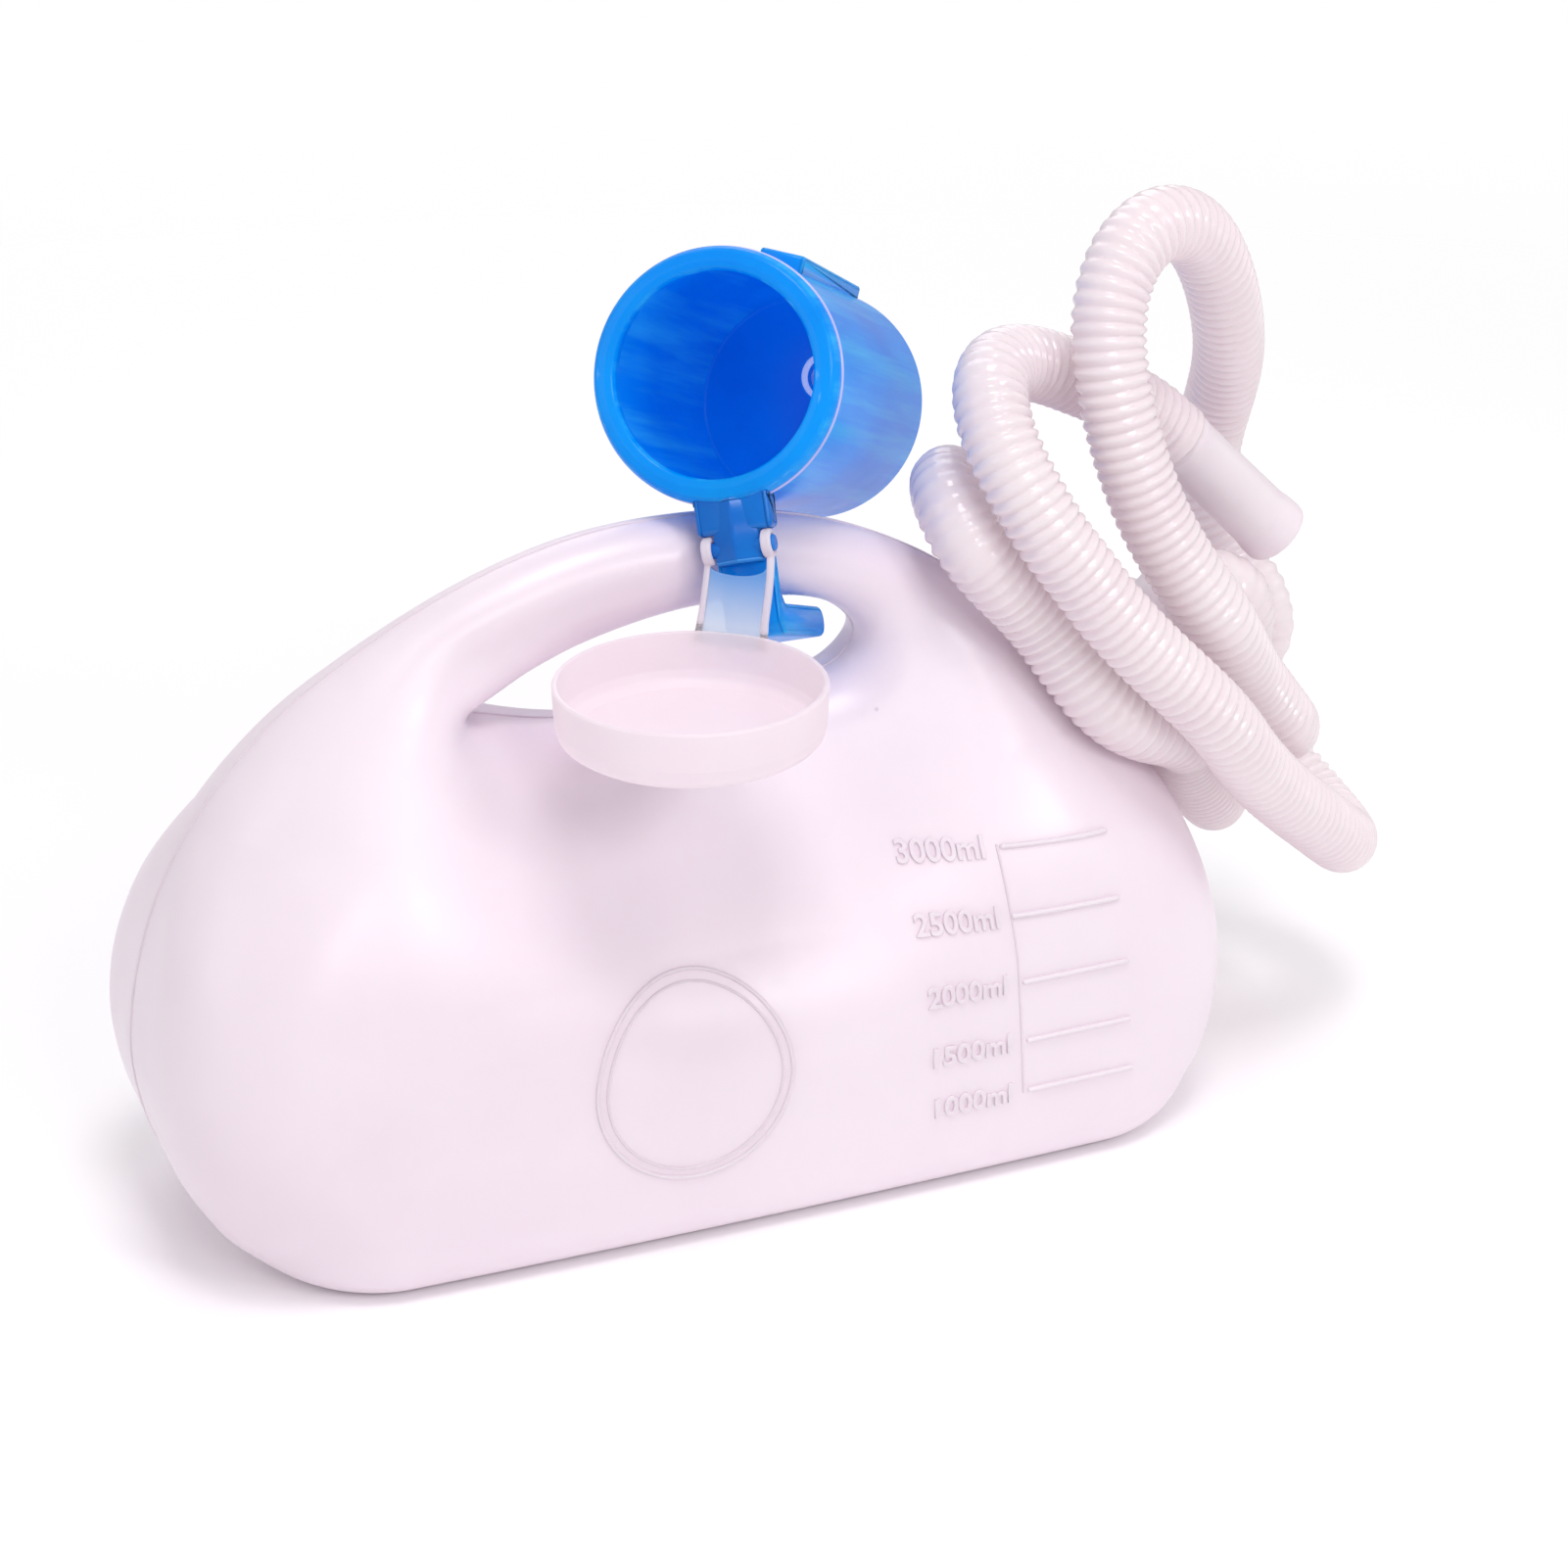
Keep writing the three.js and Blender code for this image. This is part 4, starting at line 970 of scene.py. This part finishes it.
def hose_faces(rings, sides):
    """Outer skin, inner skin and the two end rims."""
    i, k = np.meshgrid(np.arange(rings - 1), np.arange(sides), indexing="ij")
    k1 = (k + 1) % sides
    outer = np.stack([i * sides + k, i * sides + k1, (i + 1) * sides + k1, (i + 1) * sides + k],
                     -1).reshape(-1, 4)
    inner_at, end_at = rings * sides, (rings - 1) * sides
    inner = outer[:, ::-1] + inner_at
    k = np.arange(sides)
    k1 = (k + 1) % sides
    start_rim = np.stack([k, inner_at + k, inner_at + k1, k1], 1)
    end_rim = np.stack([k1, inner_at + k1, inner_at + k, k], 1) + end_at
    return np.concatenate([outer, inner, start_rim, end_rim])


def build_hose():
    path, stations = even_path(HOSE_PATH, RIB_PITCH / RIB_STEPS)
    tangents = np.gradient(path, axis=0)
    soften(tangents, rounds=6)
    tangents /= np.linalg.norm(tangents, axis=1)[:, None]
    # curvature points towards the inside of the bend
    curvature = np.gradient(tangents, axis=0) / (stations[1] - stations[0])
    soften(curvature, rounds=60)
    normals = carry_normals(tangents, unit(np.cross(tangents[0], [0.3, 0.9, 0.1])))
    binormals = np.cross(tangents, normals)
    sides = 28
    angles = full_turn(sides)
    spokes = (normals[:, None, :] * np.cos(angles)[None, :, None]
              + binormals[:, None, :] * np.sin(angles)[None, :, None])
    # the ribs flatten where the wall is stretched, on the outside of bends, and at the ends
    stretch = -np.einsum("ik,ijk->ij", curvature, spokes) * 10.0
    flatness = np.clip((stretch - 0.12) / 0.33, 0, 1)
    end_fade = np.minimum(1, np.minimum(stations, stations[-1] - stations) / 6)
    depth = RIB_DEPTH * (1 - 0.62 * flatness) * end_fade[:, None]
    phase = stations / RIB_PITCH * 2 * math.pi
    crest = (0.5 + 0.5 * np.cos(phase)) ** 0.75
    outer_r = HOSE_R - depth * (1 - crest)[:, None]
    inner_r = np.maximum(outer_r - HOSE_WALL, HOSE_MIN_BORE_R)
    points = np.concatenate([(path[:, None, :] + spokes * radius[:, :, None]).reshape(-1, 3)
                             for radius in (outer_r, inner_r)])
    add_piece("hose_corrugated", (points, hose_faces(len(path), sides)), HOSE, "hose_line",
              stands_for=("hose",))


def build_free_cuff():
    """Smooth moulded end of the hose, slightly flared."""
    start, end = np.array(HOSE_PATH[0]), np.array(CUFF_OPEN_AT)
    cuff_z = unit(end - start)
    cuff_x = unit(np.cross([0, 1, 0], cuff_z))
    frame = frame_matrix(cuff_x, np.cross(cuff_z, cuff_x), cuff_z, start)
    length = float(np.linalg.norm(end - start))
    profile = rounded([
        (4.8, -5, 0.3), (6.2, -5, 0.4), (6.2, 0.7, 0.3), (9.3, 0.7, 0.5), (9.75, 2.6, 1.0),
        (9.55, 5.5, 2.0), (9.6, length - 9, 4.0), (10.15, length - 5, 3.0),
        (10.25, length - 1.6, 1.2), (10.0, length, 0.8), (8.0, length, 0.8), (8.0, 5, 1.5),
        (4.8, 2, 1.0)])
    add_piece("cuff_free_end", lathe(profile, segments=96), CUFF, "hose_line", frame,
              stands_for=("hose_free_cuff",))


def build_cap_cuff():
    """Cuff that joins the hose to the cap's spigot."""
    bore_r, socket_r = SPIGOT_R + 0.3, 10.95
    profile = rounded([
        (bore_r, CAP_END + 1, 0.4), (11, CAP_END + 1, 0.8), (12.4, CAP_END + 3.5, 1.5),
        (12.1, CAP_END + 8, 3), (12.1, HOSE_START + 1, 4), (12.5, HOSE_START + 3.5, 1.5),
        (12.4, HOSE_START + 5.5, 0.8), (socket_r, HOSE_START + 5.5, 0.3),
        (socket_r, HOSE_START - 1.5, 0.4), (bore_r, HOSE_START - 1.5, 0.4)])
    add_piece("cuff_cap_end", lathe(profile, segments=96), CUFF, "hose_line", NECK_FRAME,
              stands_for=("hose_cap_cuff",))


# ------------------------------------------------------------------ funnel cup
# In the cup's frame z = 0 is the mouth, the floor is at -z, and the hinge is on the -y side.
FLOOR_Z = -FLOOR_DEPTH
TURNED_SEGMENTS = 192


def build_funnel_shell():
    profile = rounded([
        (OUTLET_BORE_R, -CUP_DEPTH - 8, 0.5), (OUTLET_R - 0.4, -CUP_DEPTH - 8, 0.8),
        (OUTLET_R, -CUP_DEPTH - 6, 0.8), (OUTLET_R, FLOOR_Z - 2.6, 1.2),
        (30.6, FLOOR_Z - 2.6, 1.0), (31.0, -CUP_DEPTH, 0.5), (33.1, -CUP_DEPTH, 0.9),
        (33.4, -9.4, 0.5), (32.9, -8.8, 0.4), (32.9, -6.9, 0.4), (34.1, -6.5, 0.4),
        (34.3, -2.9, 0.8), (33.5, -1.0, 1.2), (32.6, -0.15, 1.4), (30.2, 0.35, 3.0),
        (28.2, 0.0, 1.0), (27.6, -1.2, 0.9), (27.9, -4.4, 0.8), (30.9, -8.0, 1.2),
        (30.7, FLOOR_Z, 1.3), (7.2, FLOOR_Z, 0.5), (7.2, FLOOR_Z - 1.4, 0.2),
        (OUTLET_BORE_R, FLOOR_Z - 1.4, 0.4)], steps=6)
    points, faces = lathe(profile, TURNED_SEGMENTS)
    # the outlet is turned on the axis, then moved to its place beside it
    outlet = (np.hypot(points[:, 0], points[:, 1]) < 10.5) & (points[:, 2] < FLOOR_Z + 2)
    points[outlet, :2] += OUTLET_AT
    add_piece("funnel_shell", (points, faces), BLUE, "funnel", CUP_FRAME,
              stands_for=("funnel_cup",))


def build_rim_bead():
    # the bead's pale colour paints the highlight line round the rim flange
    bead_r, bead_z = 33.95, -5.3
    angles = full_turn(192)
    circle = np.stack([bead_r * np.cos(angles), bead_r * np.sin(angles),
                       np.full(len(angles), bead_z)], 1)
    add_piece("funnel_rim_bead", tube(circle, radius=0.68, sides=12, closed=True), BEAD_PAINTED_HIGHLIGHT,
              "funnel", CUP_FRAME)


def build_funnel_block():
    """Raised block along the cup's wall, turned from +y about the cup's axis."""
    turn = math.radians(-22)
    turned = frame_matrix((math.cos(turn), math.sin(turn), 0),
                          (-math.sin(turn), math.cos(turn), 0), (0, 0, 1), (0, 0, 0))
    outline = rounded([(31.6, -34, 0.4), (37.5, -34, 1.1), (35.9, -93, 1.1), (31.6, -93, 0.4)],
                      steps=4)
    add_piece("funnel_block", prism(outline, -6.5, 6.5, edge_r=0.8, steps=3), BLUE,
              "funnel", CUP_FRAME @ turned)


def on_hinge(points):
    """Lays a part turned about z along the hinge axis in the cup's frame."""
    return np.stack([points[:, 2], HINGE_Y + points[:, 0], HINGE_Z + points[:, 1]], 1)


def build_funnel_lug():
    """Lug beside the rim: a rounded block, a ridge across its middle and the hinge pin."""
    outline = rounded([(-42.0, -8.2, 1.6), (-42.0, -1.6, 1.6), (-32.0, -1.0, 0.3),
                       (-32.0, -8.2, 0.3)], steps=4)
    block = prism(outline, -10.5, 10.5, edge_r=1.4, steps=4)
    # the ridge is extruded along x, then turned to run outwards along -y
    outline = rounded([(-6.5, -8.2, 0.6), (6.5, -8.2, 0.6), (6.5, -2.6, 1.2), (0, 0.15, 0.7),
                       (-6.5, -2.6, 1.2)], steps=4)
    points, faces = prism(outline, 0, 18.0, edge_r=1.0, steps=4)
    ridge = (np.stack([points[:, 1], CUP_ATTACH_Y - points[:, 0], points[:, 2]], 1),
             [face[::-1] for face in faces])
    half_pin = 10.3
    profile = rounded([(0, -half_pin, 0), (PIN_R, -half_pin, 0.5), (PIN_R, half_pin, 0.5),
                       (0, half_pin, 0)], closed=False, steps=3)
    points, faces = lathe(profile, segments=40, closed=False)
    # the lug takes the darker blue, a painted shade
    add_piece("funnel_lug", join([block, ridge, (on_hinge(points), faces)]), BLUE_PAINTED_SHADE,
              "funnel", CUP_FRAME)


def build_funnel_clip():
    """Clip: a stem outwards from the cup, then an arm towards the cup's floor."""
    arm_inner, arm_outer, arm_tip = -61.6, -70.0, -50.0
    outline = rounded([
        (CUP_ATTACH_Y, -11.4, 0.3), (CUP_ATTACH_Y, -8.1, 0.3), (-66.5, -8.1, 3.2),
        (arm_outer, -11.5, 3.0), (arm_outer, arm_tip, 4.0), (arm_inner, arm_tip, 4.0),
        (arm_inner, -14.5, 3.0), (-58.5, -11.4, 2.5)], steps=6)
    add_piece("funnel_clip", prism(outline, -8, 8, edge_r=1.1, steps=4), BLUE,
              "funnel", CUP_FRAME)


def build_outlet_ring():
    """Pale ring seated round the outlet hole."""
    shift = np.eye(4)
    shift[:2, 3] = OUTLET_AT
    profile = rounded([
        (5.6, FLOOR_Z - 1.1, 0.2), (6.9, FLOOR_Z - 1.1, 0.2), (6.9, FLOOR_Z + 1.1, 0.4),
        (6.25, FLOOR_Z + 1.6, 0.5), (5.6, FLOOR_Z + 1.1, 0.4)])
    add_piece("funnel_outlet", lathe(profile, segments=96), OUTLET, "funnel",
              CUP_FRAME @ shift, stands_for=("outlet_ring",))


# ------------------------------------------------------------------ lid and strap
def build_lid():
    """Shallow lid, open side up, with the rim at z = 0 of its frame."""
    frame = frame_matrix((1, 0, 0), (0, 1, 0), (0, 0, 1), LID_AT)
    profile = rounded([
        (0, -LID_H, 0), (LID_R - 4.6, -LID_H, 2.0), (LID_R - 1.3, -LID_H + 2.2, 3.4),
        (LID_R - 0.45, -LID_H + 6, 2.5), (LID_R, -0.6, 0.7), (LID_R - 0.5, 0, 0.5),
        (LID_R - 1.5, 0, 0.5), (LID_R - 1.9, -LID_H + 6, 2.5), (LID_R - 2.8, -LID_H + 3.4, 2.4),
        (LID_R - 5.2, -LID_H + 1.8, 1.6), (0, -LID_H + 1.8, 0)], closed=False, steps=6)
    add_piece("lid_cup", lathe(profile, TURNED_SEGMENTS, closed=False), LID, "lid", frame,
              stands_for=("lid_with_strap",))


# The strap follows a Bezier curve from the hinge (t = 0) to the lid's wall (t = 1).
hinge_at = np.array(CUP_AT) + cup_y * HINGE_Y + cup_z * HINGE_Z
lid_at = np.array(LID_AT, float)
to_hinge = unit((hinge_at - lid_at) * [1, 1, 0])
strap_foot = lid_at + to_hinge * (LID_R - 0.75)
foot_side = -np.cross([0, 0, 1], to_hinge)
if foot_side @ cup_x < 0:
    foot_side = -foot_side
STRAP_CURVE = [hinge_at, hinge_at - 9 * cup_y + 1.2 * cup_z,
               strap_foot + [0, 0, 4], strap_foot + [0, 0, -6]]
STRAP_END, STRAP_STEPS = 0.93, 40
RAIL_START, RAIL_INNER, RAIL_OUTER = 0.09, 7.7, 9.7
RAIL_THICK, RAIL_ROUND, RAIL_GROWTH = 2.4, 0.9, 1.5
PLATE_START, PLATE_NOTCH, PLATE_GROWTH = 0.19, 0.085, 0.16
PLATE_HALF_WIDTH, PLATE_HALF_THICK, PLATE_COLUMNS = 7.9, 0.8, 24


def strap_at(t):
    """Point, side direction and normal of the strap at t."""
    s = 1 - t
    a, b, c, d = STRAP_CURVE
    point = s ** 3 * a + 3 * s * s * t * b + 3 * s * t * t * c + t ** 3 * d
    along = unit(3 * s * s * (b - a) + 6 * s * t * (c - b) + 3 * t * t * (d - c))
    turn = float(smooth01(np.array(t)))
    side = unit(cup_x * (1 - turn) + foot_side * turn)
    normal = unit(np.cross(side, along))
    return point, unit(np.cross(along, normal)), normal


def widening(t):
    """0 up to t = 0.6, then rising to 1 at the end of the curve."""
    return max(0, (t - 0.6) / 0.4) ** 2


def face_normal(points, face):
    a, b, c = (points[i] for i in face[:3])
    return np.cross(b - a, c - b)


def strap_rail(low, high):
    """Rounded strip between two side offsets, its outer side widening towards the lid."""
    half, points = RAIL_THICK / 2, []
    for i in range(STRAP_STEPS + 1):
        t = RAIL_START + (STRAP_END - RAIL_START) * i / STRAP_STEPS
        centre, side, normal = strap_at(t)
        grow = RAIL_GROWTH * widening(t)
        a = low - grow if low < 0 else low
        b = high + grow if high > 0 else high
        section = rounded([(a, -half, RAIL_ROUND), (b, -half, RAIL_ROUND), (b, half, RAIL_ROUND),
                           (a, half, RAIL_ROUND)], steps=3, lead=0.2)
        points.extend([centre + side * q[0] + normal * q[1] for q in section])
    sides = len(points) // (STRAP_STEPS + 1)
    faces = ring_faces(STRAP_STEPS + 1, sides)
    points = np.array(points)
    # turn the faces outwards
    outwards = points[faces[0][0]] - points[:sides].mean(0)
    if face_normal(points, faces[0]) @ outwards < 0:
        faces = [face[::-1] for face in faces]
    return points, faces


def build_strap_rails():
    """Two rails with an eye each round the hinge pin."""
    bore_r, eye_r, eye_inner = PIN_R + 0.35, 3.9, 6.9
    parts = []
    for rail, eye in (((-RAIL_OUTER, -RAIL_INNER), (-RAIL_OUTER, -eye_inner)),
                      ((RAIL_INNER, RAIL_OUTER), (eye_inner, RAIL_OUTER))):
        parts.append(strap_rail(*rail))
        profile = rounded([(bore_r, eye[0], 0.3), (eye_r, eye[0], 0.8), (eye_r, eye[1], 0.8),
                           (bore_r, eye[1], 0.3)], steps=4)
        points, faces = lathe(profile, segments=48)
        parts.append((to_frame(on_hinge(points), CUP_FRAME), faces))
    add_piece("lid_strap_rails", join(parts), LID, "lid")


def build_strap_plate():
    """Plate between the rails, with a round notch at the hinge end."""
    points, faces = [], []
    for face_side in (1, -1):
        for offset in np.linspace(-PLATE_HALF_WIDTH, PLATE_HALF_WIDTH, PLATE_COLUMNS + 1):
            across = offset / PLATE_HALF_WIDTH
            start = PLATE_START + PLATE_NOTCH * math.sqrt(max(0, 1 - across * across))
            for i in range(STRAP_STEPS + 1):
                t = start + (STRAP_END - start) * i / STRAP_STEPS
                centre, side, normal = strap_at(t)
                spread = 1.0 + PLATE_GROWTH * widening(t)
                points.append(centre + side * offset * spread
                              + normal * face_side * PLATE_HALF_THICK)
    points = np.array(points)
    column = STRAP_STEPS + 1
    under = (PLATE_COLUMNS + 1) * column  # first point of the second face
    for c in range(PLATE_COLUMNS):
        for i in range(STRAP_STEPS):
            a, b = c * column + i, (c + 1) * column + i
            faces.append((a, a + 1, b + 1, b))
            faces.append((under + a, under + b, under + b + 1, under + a + 1))
    for c in range(PLATE_COLUMNS):  # the two ends
        a, b = c * column, (c + 1) * column
        faces.append((a, b, under + b, under + a))
        a, b = a + STRAP_STEPS, b + STRAP_STEPS
        faces.append((b, a, under + a, under + b))
    for i in range(STRAP_STEPS):  # the two long edges
        a, b = i, PLATE_COLUMNS * column + i
        faces.append((a, under + a, under + a + 1, a + 1))
        faces.append((b + 1, under + b + 1, under + b, b))
    if face_normal(points, faces[0]) @ strap_at(0.4)[2] < 0:
        faces = [face[::-1] for face in faces]
    add_piece("lid_strap_plate", (points, faces), STRAP, "lid")


# ------------------------------------------------------------------ stage, light, camera (metres)
def build_floor():
    """Pale floor that fades out into the white backdrop."""
    material = bpy.data.materials.new("floor_pale")
    material.use_nodes = True
    tree = material.node_tree
    principled = tree.nodes["Principled BSDF"]
    principled.inputs["Base Color"].default_value = (0.975, 0.975, 0.98, 1)
    principled.inputs["Roughness"].default_value = 0.85
    geometry = add_node(tree, "ShaderNodeNewGeometry")
    distance = add_node(tree, "ShaderNodeVectorMath", operation="LENGTH")
    tree.links.new(geometry.outputs["Position"], distance.inputs[0])
    fade = map_range(tree, distance.outputs["Value"], source=(0.45, 1.35),
                     interpolation_type="SMOOTHSTEP")
    clear = add_node(tree, "ShaderNodeBsdfTransparent")
    factor = mix_to_output(tree, principled.outputs["BSDF"], clear.outputs["BSDF"],
                           "Material Output")
    tree.links.new(fade, factor)

    half, z = 6.0, -0.0002
    mesh = bpy.data.meshes.new("floor")
    mesh.from_pydata([(-half, -half, z), (half, -half, z), (half, half, z), (-half, half, z)],
                     [], [(0, 1, 2, 3)])
    mesh.materials.append(material)
    floor = bpy.data.objects.new("floor", mesh)
    bpy.context.scene.collection.objects.link(floor)


def build_world():
    """Soft studio light, seen by the camera as plain white."""
    world = bpy.data.worlds.new("studio")
    bpy.context.scene.world = world
    world.use_nodes = True
    tree = world.node_tree
    ambient = tree.nodes["Background"]
    ambient.inputs["Color"].default_value = (1.0, 0.985, 1.0, 1)
    ambient.inputs["Strength"].default_value = 0.61
    rays = add_node(tree, "ShaderNodeLightPath")
    white = add_node(tree, "ShaderNodeBackground", {"Color": (1, 1, 1, 1), "Strength": 1.0})
    factor = mix_to_output(tree, ambient.outputs["Background"], white.outputs["Background"],
                           "World Output")
    tree.links.new(rays.outputs["Is Camera Ray"], factor)


def area_light(name, at, target, size, energy, color=(1, 1, 1)):
    light = bpy.data.lights.new(name, "AREA")
    light.energy, light.size, light.color = energy, size, color
    lamp = bpy.data.objects.new(name, light)
    lamp.location = at
    lamp.rotation_euler = (Vector(target) - Vector(at)).to_track_quat("-Z", "Y").to_euler()
    bpy.context.scene.collection.objects.link(lamp)


def build_lights():
    warm = (1.0, 0.98, 0.99)
    area_light("top", at=(-0.05, -0.55, 1.9), target=(0, 0, 0.1), size=0.6, energy=11.5,
               color=(1.0, 0.975, 0.99))
    area_light("key", at=(0.62, -1.38, 1.02), target=(-0.08, -0.03, 0.12), size=0.36, energy=4.6,
               color=warm)
    area_light("second", at=(-0.02, -1.50, 1.08), target=(0.10, -0.02, 0.16), size=0.32,
               energy=2.7, color=warm)
    area_light("side", at=(-1.6, -0.3, 0.9), target=(-0.1, 0, 0.1), size=0.9, energy=2.2,
               color=(0.99, 0.98, 1.0))
    area_light("back", at=(0.3, 1.5, 1.3), target=(0, 0, 0.12), size=1.2, energy=6.5)
    area_light("rim", at=(1.7, -0.2, 0.8), target=(0.05, 0, 0.16), size=0.7, energy=1.4,
               color=warm)


def build_camera():
    """Camera in front and to the left, looking down on the bottle."""
    turn, tilt = math.radians(22.5), math.radians(24)  # towards +x from +y, and downwards
    lens = bpy.data.cameras.new("camera")
    lens.sensor_fit, lens.sensor_width, lens.lens = "HORIZONTAL", 36.0, 78.70
    lens.clip_start, lens.clip_end = 0.02, 30
    camera = bpy.data.objects.new("camera", lens)
    right = Vector((math.cos(turn), -math.sin(turn), 0))
    forward = Vector((math.sin(turn) * math.cos(tilt), math.cos(turn) * math.cos(tilt),
                      -math.sin(tilt)))
    pose = Matrix((right, right.cross(forward), -forward)).transposed().to_4x4()
    pose.translation = Vector((-0.30623, -0.81692, 0.49782))
    camera.matrix_world = pose
    bpy.context.scene.collection.objects.link(camera)
    bpy.context.scene.camera = camera


build_bottle_shell()
build_scale()
build_plain_ring()
build_parting_line()
build_cap()
build_washer()
build_hose()
build_free_cuff()
build_cap_cuff()
build_funnel_shell()
build_rim_bead()
build_funnel_block()
build_funnel_lug()
build_funnel_clip()
build_outlet_ring()
build_lid()
build_strap_rails()
build_strap_plate()
build_floor()
build_world()
build_lights()
build_camera()
bpy.context.scene.view_settings.view_transform = "Standard"
